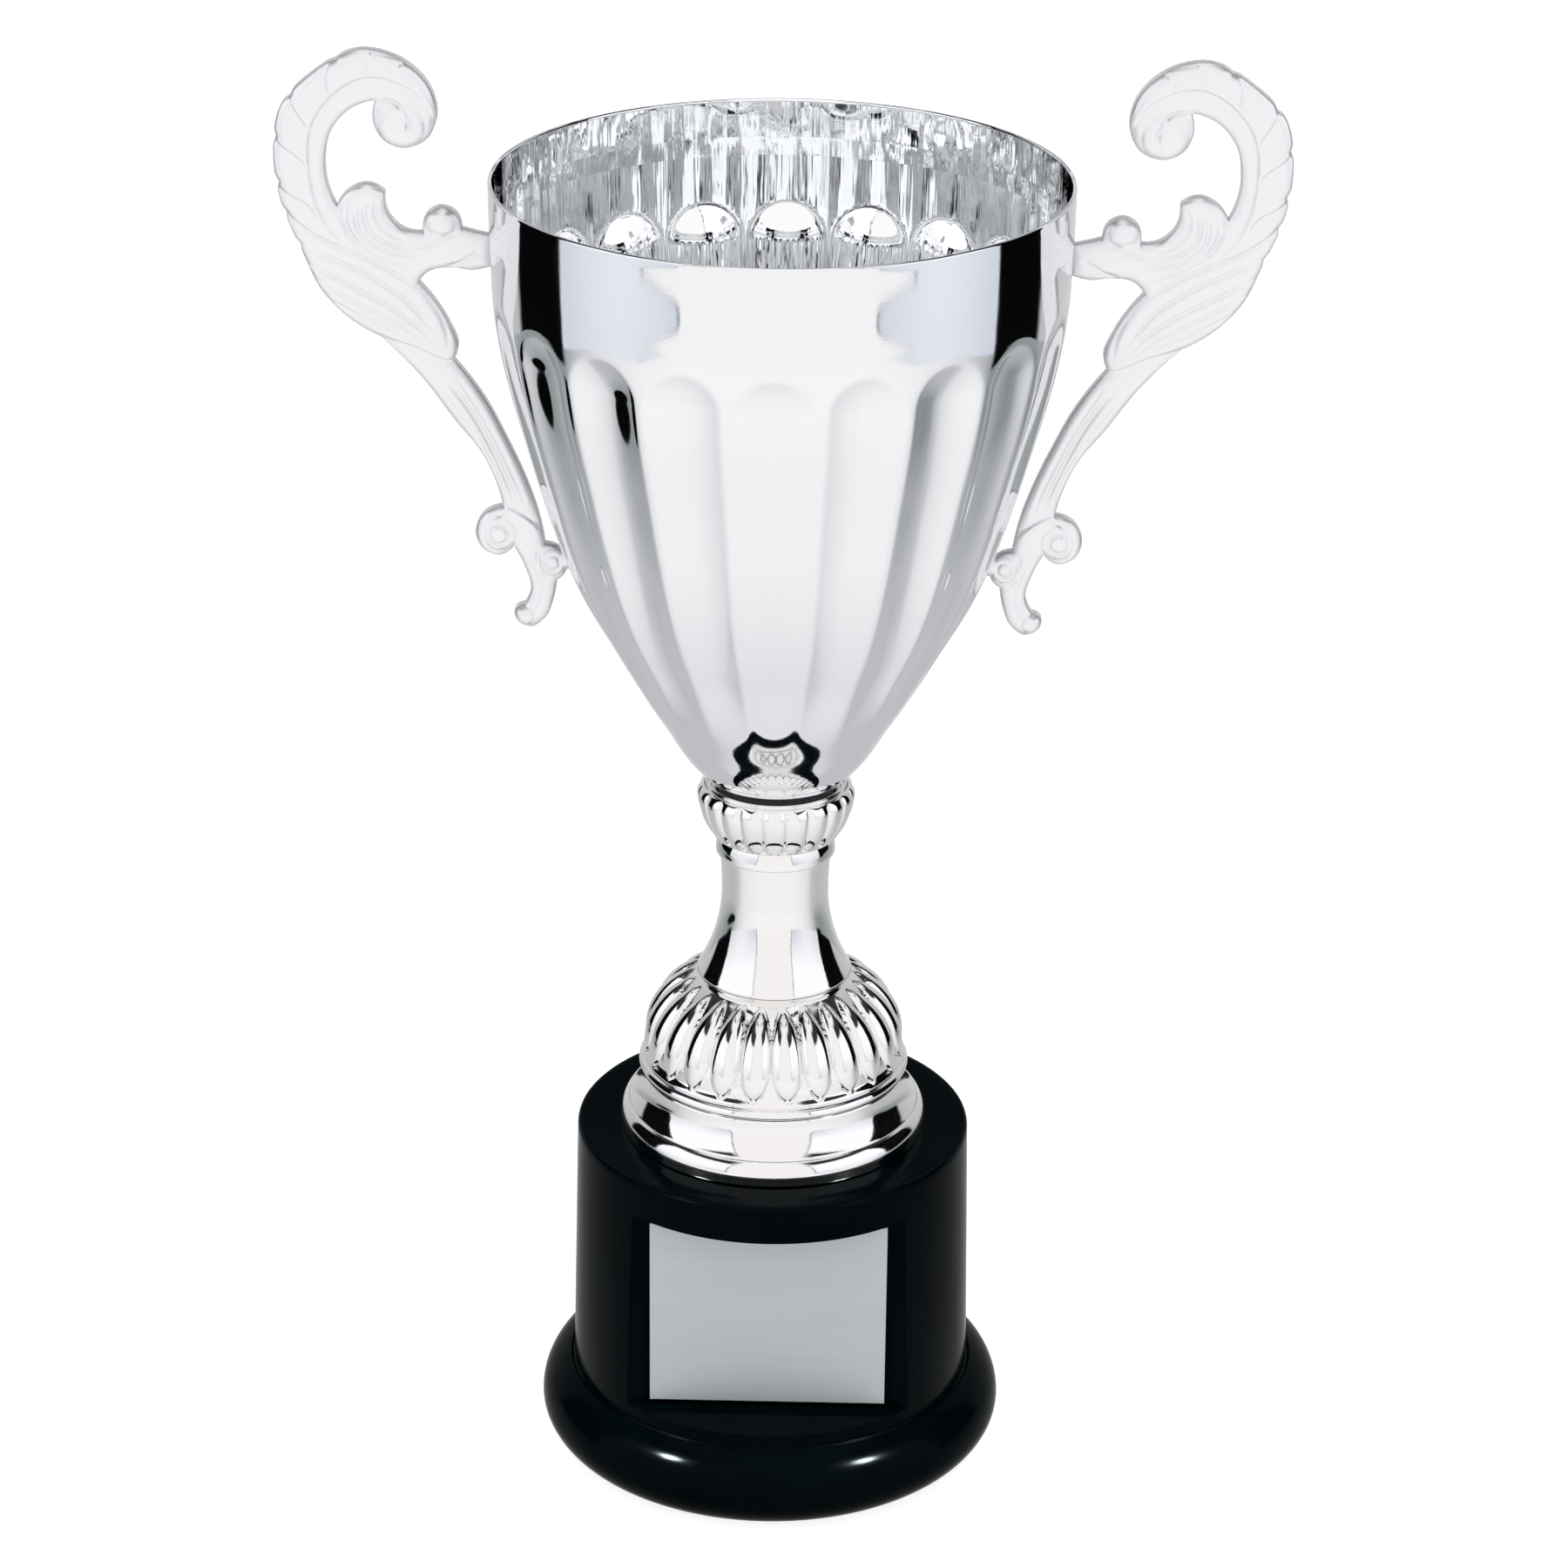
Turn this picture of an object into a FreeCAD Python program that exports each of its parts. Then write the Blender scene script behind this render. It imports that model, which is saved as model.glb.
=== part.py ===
import FreeCAD, Part
import math
import os
import Sketcher
from FreeCAD import Placement, Rotation, Vector

# Two-handled cup trophy, in millimetres, +Z up, +X to the right handle, -Y to the name plate.
# The origin is the centre of the base where it stands. A threaded rod clamps the stack
# base - dome - neck - knob - bowl, and each handle is held by two screws from inside the bowl.

SIZES = {
    # base
    "base_height": 65.6, "drum_top_radius": 37.2, "drum_foot_radius": 38.2,
    "drum_foot_height": 15.2, "drum_edge": 0.9, "foot_radius": 44.4, "foot_widest_height": 5.4,
    "foot_rest_radius": 40.6, "foot_top_curve": 9.5, "foot_under_curve": 5.2,
    "groove_width": 0.7, "groove_drop": 0.5, "base_wall": 2.5, "base_roof": 3.0,
    "foot_cavity_radius": 38.4, "foot_cavity_height": 11.0, "rod_boss_radius": 8.0,
    "panel_depth": 27.2, "panel_bottom": 17.7, "panel_top": 58.5, "panel_wall": 2.5,
    # what closes the base
    "felt_thickness": 1.6, "felt_radius": 38.0, "cover_thickness": 2.0, "cover_radius": 38.1,
    "post_circle": 32.2, "post_radius": 3.6, "post_count": 3, "cover_screw_radius": 1.45,
    "cover_screw_length": 9.5, "cover_screw_point": 1.0, "cover_head_radius": 2.8,
    "cover_head_height": 1.5,
    # name plate
    "plate_width": 44.45, "plate_height": 38.1, "plate_thickness": 0.5, "plate_bottom": 19.1,
    "tape_thickness": 0.4, "tape_margin": 3.0,
    # rod and what it clamps
    "rod_radius": 3.0, "rod_bore": 3.3, "rod_bottom": 4.6, "rod_top": 149.0,
    "nut_flats": 10.0, "nut_height": 5.0, "lock_radius": 5.4, "lock_height": 1.6, "lock_gap": 1.2,
    "bowl_washer_radius": 8.0, "base_washer_radius": 12.0, "washer_height": 1.2,
    "weight_radius": 23.8, "weight_bottom": 14.0, "weight_height": 26.0,
    # dome, from its skirt on the base to the neck
    "dome_height": 31.6, "skirt_radius": 29.0, "skirt_edge": 1.2, "skirt_top_radius": 25.2,
    "bead_bottom": 11.8, "bead_top": 15.2, "bead_curve": 3.0, "cove_curve": 14.0,
    "petal_radius": 24.6, "petal_bottom": 15.8, "petal_curve": 16.0, "dome_top_radius": 15.0,
    # neck
    "neck_height": 22.6, "neck_lip_radius": 14.4, "neck_lip_edge": 1.4, "neck_foot_radius": 13.2,
    "neck_foot": 1.8, "neck_waist_radius": 10.0, "neck_waist": 16.0, "neck_foot_curve": 33.0,
    "neck_top_radius": 10.6, "neck_top_curve": 37.0, "neck_core_radius": 8.0,
    # knob with the collar under it
    "knob_height": 16.4, "collar_radius": 10.9, "collar_top": 4.2, "collar_curve": 8.0,
    "knob_root_radius": 10.6, "knob_root": 4.8, "knob_radius": 14.6, "knob_widest": 13.8,
    "knob_lower_curve": 12.2, "knob_seat_radius": 12.4, "knob_upper_curve": 2.7,
    "knob_core_radius": 8.6,
    # inside of the stem mouldings, and the gasket on top
    "stem_wall": 2.0, "stem_tube_radius": 5.5, "web_thickness": 1.6, "gasket_thickness": 0.8,
    "gasket_radius": 11.0,
    # bowl
    "bowl_sheet": 0.8, "bowl_floor": 1.2, "flute_count": 20, "flute_depth": 1.5,
    "flute_depth_radius": 50.0, "flute_top": 232.0, "flute_top_fade": 8.0,
    "flute_bottom": 152.0, "flute_bottom_fade": 14.0,
    # handles and their screws
    "handle_thickness": 4.8, "eye_thickness": 5.6, "scroll_eye_radius": 3.6,
    "volute_eye_radius": 3.4, "bud_eye_radius": 2.1, "boss_radius": 2.3, "boss_length": 4.0,
    "screw_radius": 1.25, "screw_length": 6.5, "screw_head_radius": 2.4, "screw_head_height": 1.6,
    "screw_head_curve": 1.1, "screw_washer_radius": 3.0, "screw_washer_height": 0.5,
    "screw_bore": 1.45, "upper_screw_height": 237.4, "lower_screw_height": 180.0,
}

# Heights where one piece of the stack ends and the next begins.
NECK_BOTTOM = "base_height + dome_height"
KNOB_BOTTOM = NECK_BOTTOM + " + neck_height"
GASKET_BOTTOM = KNOB_BOTTOM + " + knob_height"
BOWL_BOTTOM = GASKET_BOTTOM + " + gasket_thickness"

# Height above its floor and radius of the bowl's ridges, up to the edge of the rim.
BOWL_STATIONS = [
    (0.0, 12.8), (5.0, 17.0), (11.0, 20.7), (19.0, 25.8), (27.0, 30.3), (35.0, 34.8),
    (43.0, 38.4), (51.0, 41.2), (59.0, 43.6), (67.0, 45.8), (75.0, 48.0), (83.0, 49.8),
    (91.0, 51.0), (99.0, 51.4), (106.6, 51.6), (114.2, 51.7)]

# The right handle's outline, as (x, z) points on curved runs that meet at its corners.
BACK_RUN = [
    (62.0, 257.8), (60.4, 261.6), (61.2, 266.2), (65.2, 271.0), (73.6, 273.5), (82.0, 269.3),
    (87.9, 263.0), (89.4, 255.5), (88.4, 246.5), (84.6, 236.4), (81.6, 229.8), (76.8, 224.6),
    (71.2, 221.2)]
STEM_BACK_RUN = [
    (71.2, 221.2), (63.8, 213.4), (58.2, 205.6), (53.6, 199.6), (51.2, 194.4), (49.8, 189.3)]
VOLUTE_RUN = [
    (49.8, 189.3), (53.2, 188.0), (54.9, 184.4), (53.5, 181.0), (50.6, 179.9), (48.0, 181.6)]
TAIL_RUN = [(48.0, 181.6), (46.0, 177.6), (45.0, 173.4), (46.2, 170.4)]
TAIL_TIP_RUN = [
    (46.2, 170.4), (48.0, 169.2), (47.6, 167.2), (45.0, 166.0), (42.4, 167.8), (40.8, 171.6),
    (40.2, 175.2)]
INNER_VOLUTE_RUN = [(40.2, 175.2), (38.6, 176.8), (38.4, 179.6), (40.2, 181.6), (42.3, 182.2)]
STEM_FRONT_RUN = [
    (42.3, 182.2), (43.2, 187.0), (45.6, 194.4), (48.9, 202.0), (53.0, 210.0), (58.2, 217.0)]
LEAF_RUN = [(58.2, 217.0), (57.4, 219.4), (58.9, 223.8), (61.4, 228.0), (64.2, 231.4)]
ARM_UNDER_RUN = [(64.2, 231.4), (62.4, 233.4), (58.3, 234.2), (54.6, 233.8), (50.4, 234.6)]
ARM_END_RUN = [(50.4, 234.6), (50.4, 240.2)]
ARM_TOP_RUN = [(50.4, 240.2), (53.4, 240.6), (56.4, 241.4)]
BUD_RUN = [(56.4, 241.4), (57.4, 244.2), (60.1, 245.3), (62.6, 244.0), (63.2, 240.6)]
HOOK_UNDER_RUN = [(63.2, 240.6), (66.4, 241.0), (69.4, 244.0), (69.8, 247.8)]
HOOK_RUN = [(69.8, 247.8), (73.2, 249.3), (76.6, 247.8), (78.4, 245.2)]
INNER_RUN = [
    (78.4, 245.2), (79.9, 249.2), (80.2, 253.8), (79.2, 258.4), (75.8, 262.6), (71.2, 264.4)]
CURL_RUN = [
    (71.2, 264.4), (71.6, 260.6), (69.8, 257.2), (66.6, 255.9), (63.6, 256.6), (62.0, 257.8)]
HANDLE_OUTLINE = [
    BACK_RUN, STEM_BACK_RUN, VOLUTE_RUN, TAIL_RUN, TAIL_TIP_RUN, INNER_VOLUTE_RUN,
    STEM_FRONT_RUN, LEAF_RUN, ARM_UNDER_RUN, ARM_END_RUN, ARM_TOP_RUN, BUD_RUN,
    HOOK_UNDER_RUN, HOOK_RUN, INNER_RUN, CURL_RUN]

EYE_CENTRES = {"scroll_eye": (66.6, 260.2), "volute_eye": (50.7, 184.2), "bud_eye": (60.1, 242.6)}

doc = FreeCAD.newDocument("cup_trophy")
sheet = doc.addObject("Spreadsheet::Sheet", "sizes")
nodes = []


def fill_sheet():
    """Write every driving size to the sheet under its own name."""
    for row, (alias, value) in enumerate(SIZES.items(), start=1):
        cell = "A%d" % row
        sheet.set(cell, str(value))
        sheet.setAlias(cell, alias)
    doc.recompute()


def bound(text):
    """The expression that reads the sizes named in text from the sheet."""
    return " ".join("sizes." + word if word in SIZES else word for word in text.split())


def measure(text):
    """The value of a sum of sizes and numbers, such as 'base_height - base_roof'."""
    total, sign = 0.0, 1.0
    for word in text.split():
        if word in ("+", "-"):
            sign = 1.0 if word == "+" else -1.0
        else:
            total += sign * (SIZES[word] if word in SIZES else float(word))
            sign = 1.0
    return total


def keep(item, label):
    """Name a finished sub-part, so that it is written to its own file."""
    item.Label = label
    nodes.append(item)
    return item


def bind(item, **sizes):
    """Bind an object's properties, such as Height or Placement__Base__z, to the sheet."""
    for name, text in sizes.items():
        item.setExpression(name.replace("__", "."), bound(text))
    return item


# ---------------------------------------------------------------- building blocks

def cylinder(name, radius, height, bottom):
    item = doc.addObject("Part::Cylinder", name)
    return bind(item, Radius=radius, Height=height, Placement__Base__z=bottom)


def block(name, length, width, height, left, front, bottom):
    item = doc.addObject("Part::Box", name)
    bind(item, Length=length, Width=width, Height=height)
    return bind(item, Placement__Base__x=left, Placement__Base__y=front,
                Placement__Base__z=bottom)


def pair(kind, name, base, tool):
    """A boolean of two objects: kind is Cut or Common. Its faces stay as they were cut."""
    item = doc.addObject("Part::" + kind, name)
    item.Base = base
    item.Tool = tool
    item.Refine = False
    return item


def fuse(name, shapes):
    item = doc.addObject("Part::MultiFuse", name)
    item.Shapes = shapes
    item.Refine = False
    return item


def mirrored(name, source):
    """The same piece on the other side of the YZ plane."""
    item = doc.addObject("Part::Mirroring", name)
    item.Source = source
    item.Normal = Vector(1, 0, 0)
    return item


def group(name, pieces):
    """Identical separate pieces as one object."""
    item = doc.addObject("Part::Compound", name)
    item.Links = pieces
    return item


def ring(name, radius, bore, height, bottom):
    return pair("Cut", name, cylinder(name + "_disc", radius, height, bottom),
                cylinder(name + "_bore", bore, height, bottom))


def arc_between(start, end, radius):
    """The arc from start to end, on the left of the way it runs where radius is negative."""
    chord = end - start
    right = Vector(chord.y, -chord.x, 0).normalize()
    rise = abs(radius) - math.sqrt(radius * radius - chord.Length * chord.Length / 4)
    return Part.Arc(start, start + chord * 0.5 + right * math.copysign(rise, radius), end)


def turned(name, steps):
    """A piece turned about the Z axis. Each step is a corner (radius, height), and the outline
    runs up the outside. A third entry is the radius of an arc to the next corner, convex, or
    hollow where it starts with '- '."""
    body = doc.addObject("PartDesign::Body", name)
    sketch = body.newObject("Sketcher::SketchObject", name + "_outline")
    planes = [item for item in body.Origin.OriginFeatures if item.Role == "XZ_Plane"]
    sketch.AttachmentSupport = [(planes[0], "")]
    sketch.MapMode = "FlatFace"
    corners = [Vector(measure(step[0]), measure(step[1]), 0) for step in steps]
    starts, ends = [], []
    for index, step in enumerate(steps):
        here, there = corners[index], corners[(index + 1) % len(steps)]
        if len(step) == 3:
            edge = sketch.addGeometry(arc_between(here, there, measure(step[2])), False)
            rule = sketch.addConstraint(
                Sketcher.Constraint("Radius", edge, abs(measure(step[2]))))
            sketch.setExpression("Constraints[%d]" % rule, bound(step[2].replace("- ", "")))
        else:
            edge = sketch.addGeometry(Part.LineSegment(here, there), False)
        forward = sketch.getPoint(edge, 1).distanceToPoint(here) < 1e-6
        starts.append((edge, 1 if forward else 2))
        ends.append((edge, 2 if forward else 1))
    for index, step in enumerate(steps):
        sketch.addConstraint(
            Sketcher.Constraint("Coincident", *ends[index - 1], *starts[index]))
        for kind, text, value, axis in (("DistanceX", step[0], corners[index].x, -2),
                                        ("DistanceY", step[1], corners[index].y, -1)):
            if abs(value) < 1e-9:
                sketch.addConstraint(
                    Sketcher.Constraint("PointOnObject", *starts[index], axis))
            else:
                rule = sketch.addConstraint(
                    Sketcher.Constraint(kind, -1, 1, *starts[index], value))
                sketch.setExpression("Constraints[%d]" % rule, bound(text))
    revolution = body.newObject("PartDesign::Revolution", name + "_turn")
    revolution.Profile = sketch
    revolution.ReferenceAxis = (sketch, ["V_Axis"])
    revolution.Angle = 360
    return body


def moulding(name, outline, core, height, bottom):
    """A turned moulding, cored out from below, with a central tube for the rod that four webs
    hold. The heights in outline and core are sums that include bottom."""
    hollow = turned(name + "_core", core)
    shell = pair("Cut", name + "_shell", turned(name + "_outside", outline), hollow)
    tube = cylinder(name + "_tube", "stem_tube_radius", height, bottom)
    reach = "skirt_radius * 2"
    cross = fuse(name + "_cross", [
        block(name + "_web_x", reach, "web_thickness", height, "-1 * skirt_radius",
              "-1 * web_thickness / 2", bottom),
        block(name + "_web_y", "web_thickness", reach, height, "-1 * web_thickness / 2",
              "-1 * skirt_radius", bottom)])
    webs = pair("Common", name + "_webs", cross, hollow)
    solid = fuse(name + "_fused", [shell, tube, webs])
    bore = cylinder(name + "_bore", "rod_bore", height, bottom)
    return keep(pair("Cut", name + "_bored", solid, bore), name)


# ---------------------------------------------------------------- base

def post_centres():
    """The centres of the posts that the cover is screwed to."""
    count = int(SIZES["post_count"])
    for number in range(count):
        angle = math.radians(90 + 360 * number / count)
        yield number, math.cos(angle), math.sin(angle)


def at_post(item, cosine, sine):
    return bind(item, Placement__Base__x="post_circle * %.6f" % cosine,
                Placement__Base__y="post_circle * %.6f" % sine)


def base_shell():
    """Drum and foot in one moulding, open below, with a flat panel sunk into its front."""
    outside = turned("base_outside", [
        ("0", "0"),
        ("foot_rest_radius", "0", "foot_under_curve"),
        ("foot_radius", "foot_widest_height", "foot_top_curve"),
        ("drum_foot_radius + groove_width", "drum_foot_height - groove_drop"),
        ("drum_foot_radius", "drum_foot_height"),
        ("drum_top_radius", "base_height - drum_edge", "drum_edge"),
        ("drum_top_radius - drum_edge", "base_height"),
        ("0", "base_height")])
    cavity = turned("base_cavity", [
        ("0", "0"),
        ("foot_cavity_radius", "0"),
        ("foot_cavity_radius", "foot_cavity_height"),
        ("drum_top_radius - base_wall", "drum_foot_height"),
        ("drum_top_radius - base_wall", "base_height - base_roof"),
        ("0", "base_height - base_roof")])
    hollow = pair("Cut", "base_hollow", outside, cavity)
    slab = block("panel_slab", "skirt_radius * 3", "base_height",
                 "panel_top - panel_bottom + 2 * panel_wall", "-1.5 * skirt_radius",
                 "panel_wall - panel_depth - base_height", "panel_bottom - panel_wall")
    panel = pair("Common", "panel_back", slab,
                 cylinder("panel_round", "drum_top_radius - base_wall / 2", "base_height", "0"))
    boss = cylinder("rod_boss", "rod_boss_radius",
                    "base_height - base_roof / 2 - weight_bottom - weight_height",
                    "weight_bottom + weight_height")
    posts = [at_post(cylinder("cover_post_%d" % number, "post_radius",
                              "base_height - base_roof / 2 - felt_thickness - cover_thickness",
                              "felt_thickness + cover_thickness"), cosine, sine)
             for number, cosine, sine in post_centres()]
    pilots = [at_post(cylinder("cover_pilot_%d" % number, "cover_screw_radius",
                               "cover_screw_length", "felt_thickness"), cosine, sine)
              for number, cosine, sine in post_centres()]
    recess = block("panel_recess", "skirt_radius * 3", "base_height",
                   "panel_top - panel_bottom", "-1.5 * skirt_radius",
                   "-1 * panel_depth - base_height", "panel_bottom")
    rod_hole = cylinder("base_rod_hole", "rod_bore", "base_height", "weight_bottom")
    solid = fuse("base_fused", [hollow, panel, boss] + posts)
    tools = fuse("base_cutters", [recess, rod_hole] + pilots)
    keep(pair("Cut", "base_cut", solid, tools), "base_shell")


def base_closing():
    """The weight, and the screwed cover with the felt that the trophy stands on."""
    keep(ring("weight_ring", "weight_radius", "rod_bore", "weight_height", "weight_bottom"),
         "base_weight")
    screws = []
    for number, cosine, sine in post_centres():
        screws.append(at_post(turned("cover_screw_%d" % number, [
            ("0", "felt_thickness"),
            ("cover_head_radius", "felt_thickness"),
            ("cover_screw_radius", "felt_thickness + cover_head_height"),
            ("cover_screw_radius",
             "felt_thickness + cover_screw_length - cover_screw_point"),
            ("0", "felt_thickness + cover_screw_length")]), cosine, sine))
    screw_group = keep(group("cover_screw_group", screws), "cover_screws")
    disc = cylinder("cover_disc", "cover_radius", "cover_thickness", "felt_thickness")
    keep(pair("Cut", "cover_cut", disc, screw_group), "base_cover")
    keep(cylinder("felt_disc", "felt_radius", "felt_thickness", "0"), "felt_pad")


def name_plate():
    """The flat blank plate and the foam tape that holds it to the panel."""
    keep(block("tape_block", "plate_width - 2 * tape_margin", "tape_thickness",
               "plate_height - 2 * tape_margin", "tape_margin - plate_width / 2",
               "-1 * panel_depth - tape_thickness", "plate_bottom + tape_margin"),
         "plate_adhesive")
    keep(block("plate_block", "plate_width", "plate_thickness", "plate_height",
               "-1 * plate_width / 2", "-1 * panel_depth - tape_thickness - plate_thickness",
               "plate_bottom"), "name_plate")


# ---------------------------------------------------------------- rod, nuts and washers

def hex_nut(name, bottom):
    """A hexagon nut whose upper corners are turned off at 30 degrees."""
    prism = doc.addObject("Part::Prism", name + "_prism")
    prism.Polygon = 6
    bind(prism, Circumradius="nut_flats / 1.7320508", Height="nut_height",
         Placement__Base__z=bottom)
    cone = doc.addObject("Part::Cone", name + "_cone")
    bind(cone, Radius1="nut_flats * 0.48 + nut_height * 1.7320508", Radius2="nut_flats * 0.48",
         Height="nut_height", Placement__Base__z=bottom)
    blank = pair("Common", name + "_blank", prism, cone)
    bore = cylinder(name + "_bore", "rod_radius", "nut_height", bottom)
    keep(pair("Cut", name + "_cut", blank, bore), name)


def lock_washer(name, bottom):
    """A spring washer: a ring split through one side."""
    whole = ring(name + "_ring", "lock_radius", "rod_bore", "lock_height", bottom)
    slot = block(name + "_slot", "lock_radius * 2", "lock_gap", "lock_height * 3", "0",
                 "-1 * lock_gap / 2", bottom + " - lock_height")
    keep(pair("Cut", name + "_cut", whole, slot), name)


def clamping():
    """The threaded rod, and what its two nuts bear on."""
    keep(cylinder("rod_cylinder", "rod_radius", "rod_top - rod_bottom", "rod_bottom"),
         "tie_rod")
    washer_bottom = BOWL_BOTTOM + " + bowl_floor"
    keep(ring("bowl_washer_ring", "bowl_washer_radius", "rod_bore", "washer_height",
              washer_bottom), "bowl_washer")
    lock_washer("bowl_lock_washer", washer_bottom + " + washer_height")
    hex_nut("bowl_nut", washer_bottom + " + washer_height + lock_height")
    keep(ring("base_washer_ring", "base_washer_radius", "rod_bore", "washer_height",
              "weight_bottom - washer_height"), "base_washer")
    lock_washer("base_lock_washer", "weight_bottom - washer_height - lock_height")
    hex_nut("base_nut", "weight_bottom - washer_height - lock_height - nut_height")


# ---------------------------------------------------------------- stem

def stem():
    """Dome, neck and knob, each on the one below, and the gasket under the bowl."""
    foot = "base_height + "
    moulding("stem_dome", [
        ("0", "base_height"),
        ("skirt_radius", "base_height"),
        ("skirt_radius", foot + "skirt_edge", "- cove_curve"),
        ("skirt_top_radius", foot + "bead_bottom", "bead_curve"),
        ("skirt_top_radius", foot + "bead_top"),
        ("petal_radius", foot + "petal_bottom", "petal_curve"),
        ("dome_top_radius", foot + "dome_height"),
        ("0", foot + "dome_height")], [
        ("0", "base_height"),
        ("skirt_radius - stem_wall", "base_height"),
        ("skirt_top_radius - stem_wall", foot + "bead_bottom"),
        ("petal_radius - stem_wall", foot + "petal_bottom", "petal_curve"),
        ("dome_top_radius - stem_wall", foot + "dome_height - stem_wall"),
        ("0", foot + "dome_height - stem_wall")], "dome_height", "base_height")
    foot = NECK_BOTTOM + " + "
    moulding("stem_neck", [
        ("0", NECK_BOTTOM),
        ("neck_lip_radius", NECK_BOTTOM),
        ("neck_lip_radius", foot + "neck_lip_edge"),
        ("neck_foot_radius", foot + "neck_foot", "- neck_foot_curve"),
        ("neck_waist_radius", foot + "neck_waist", "- neck_top_curve"),
        ("neck_top_radius", foot + "neck_height"),
        ("0", foot + "neck_height")], [
        ("0", NECK_BOTTOM),
        ("neck_foot_radius - stem_wall", NECK_BOTTOM),
        ("neck_core_radius", foot + "neck_waist - stem_wall"),
        ("neck_core_radius", foot + "neck_height - stem_wall"),
        ("0", foot + "neck_height - stem_wall")], "neck_height", NECK_BOTTOM)
    foot = KNOB_BOTTOM + " + "
    moulding("stem_knob", [
        ("0", KNOB_BOTTOM),
        ("collar_radius", KNOB_BOTTOM, "collar_curve"),
        ("collar_radius", foot + "collar_top"),
        ("knob_root_radius", foot + "knob_root", "knob_lower_curve"),
        ("knob_radius", foot + "knob_widest", "knob_upper_curve"),
        ("knob_seat_radius", foot + "knob_height"),
        ("0", foot + "knob_height")], [
        ("0", KNOB_BOTTOM),
        ("knob_core_radius", KNOB_BOTTOM),
        ("knob_core_radius", foot + "knob_height - stem_wall"),
        ("0", foot + "knob_height - stem_wall")], "knob_height", KNOB_BOTTOM)
    keep(ring("gasket_ring", "gasket_radius", "rod_bore", "gasket_thickness", GASKET_BOTTOM),
         "bowl_gasket")


# ---------------------------------------------------------------- bowl

def fade(height, start, length):
    """0 at start, rising smoothly to 1 over length."""
    part = min(max((height - start) / length, 0.0), 1.0)
    return part * part * (3 - 2 * part)


def flute_depth(height, radius):
    """How far the middle of a flute lies inside the ridges."""
    below_top = fade(-height, -SIZES["flute_top"], SIZES["flute_top_fade"])
    above_bottom = fade(height, SIZES["flute_bottom"], SIZES["flute_bottom_fade"])
    scale = SIZES["flute_depth"] * radius / SIZES["flute_depth_radius"]
    return scale * below_top * above_bottom


def bowl_section(height, radius, depth):
    """One level of the bowl: hollow flutes between ridges, the first flute towards +X."""
    points_per_flute = 4
    count = int(SIZES["flute_count"]) * points_per_flute
    points = []
    for number in range(count):
        across = (number % points_per_flute) / points_per_flute
        across = across - 1 if across > 0.5 else across
        reach = radius - depth * (1 - (2 * across) ** 2)
        angle = 2 * math.pi * number / count
        points.append(Vector(reach * math.cos(angle), reach * math.sin(angle), height))
    curve = Part.BSplineCurve()
    curve.interpolate(points, PeriodicFlag=True)
    return Part.Wire(curve.toShape())


def ridge_radius(above_floor):
    """Radius of the ridges between two stations."""
    for (low, inner), (high, outer) in zip(BOWL_STATIONS, BOWL_STATIONS[1:]):
        if above_floor <= high:
            return inner + (outer - inner) * (above_floor - low) / (high - low)
    return BOWL_STATIONS[-1][1]


def sheet_reach(above_floor):
    """The sheet's thickness measured level, where the wall slopes."""
    step = 1.0
    slope = (ridge_radius(above_floor + step) - ridge_radius(above_floor - step)) / (2 * step)
    return SIZES["bowl_sheet"] * math.hypot(1, slope)


def bowl_solids():
    """The bowl as a filled blank, and the space inside it."""
    floor = measure(BOWL_BOTTOM)
    outer, inner = [], []
    levels = [SIZES["bowl_floor"]] + [station[0] for station in BOWL_STATIONS[1:]]
    for above, radius in BOWL_STATIONS:
        height = floor + above
        outer.append(bowl_section(height, radius, flute_depth(height, radius)))
    for above in levels:
        height = floor + above
        radius = ridge_radius(above)
        inner.append(bowl_section(height, radius - sheet_reach(above),
                                  flute_depth(height, radius)))
    brim = BOWL_STATIONS[-1][1] - SIZES["bowl_sheet"]
    above_rim = 2 * BOWL_STATIONS[-1][0] - BOWL_STATIONS[-2][0]
    inner.append(bowl_section(floor + above_rim, brim, 0))
    blank = doc.addObject("Part::Feature", "bowl_blank")
    blank.Shape = Part.makeLoft(outer, True)
    space = doc.addObject("Part::Feature", "bowl_space")
    space.Shape = Part.makeLoft(inner, True)
    return blank, space


def screw_seats():
    """Where each right-hand screw's washer bears on the wall, and the way the screw points."""
    floor = measure(BOWL_BOTTOM)
    for name in ("upper", "lower"):
        height = SIZES[name + "_screw_height"]
        above = height - floor
        rise = 2.0
        slope = (ridge_radius(above + rise) - ridge_radius(above - rise)) / (2 * rise)
        outwards = Vector(1, 0, -slope).normalize()
        radius = ridge_radius(above) - sheet_reach(above) - flute_depth(height, ridge_radius(above))
        if slope < 0.1:
            radius = math.sqrt(radius ** 2 - SIZES["screw_washer_radius"] ** 2)
        yield name, Vector(radius, 0, height), outwards


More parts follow.
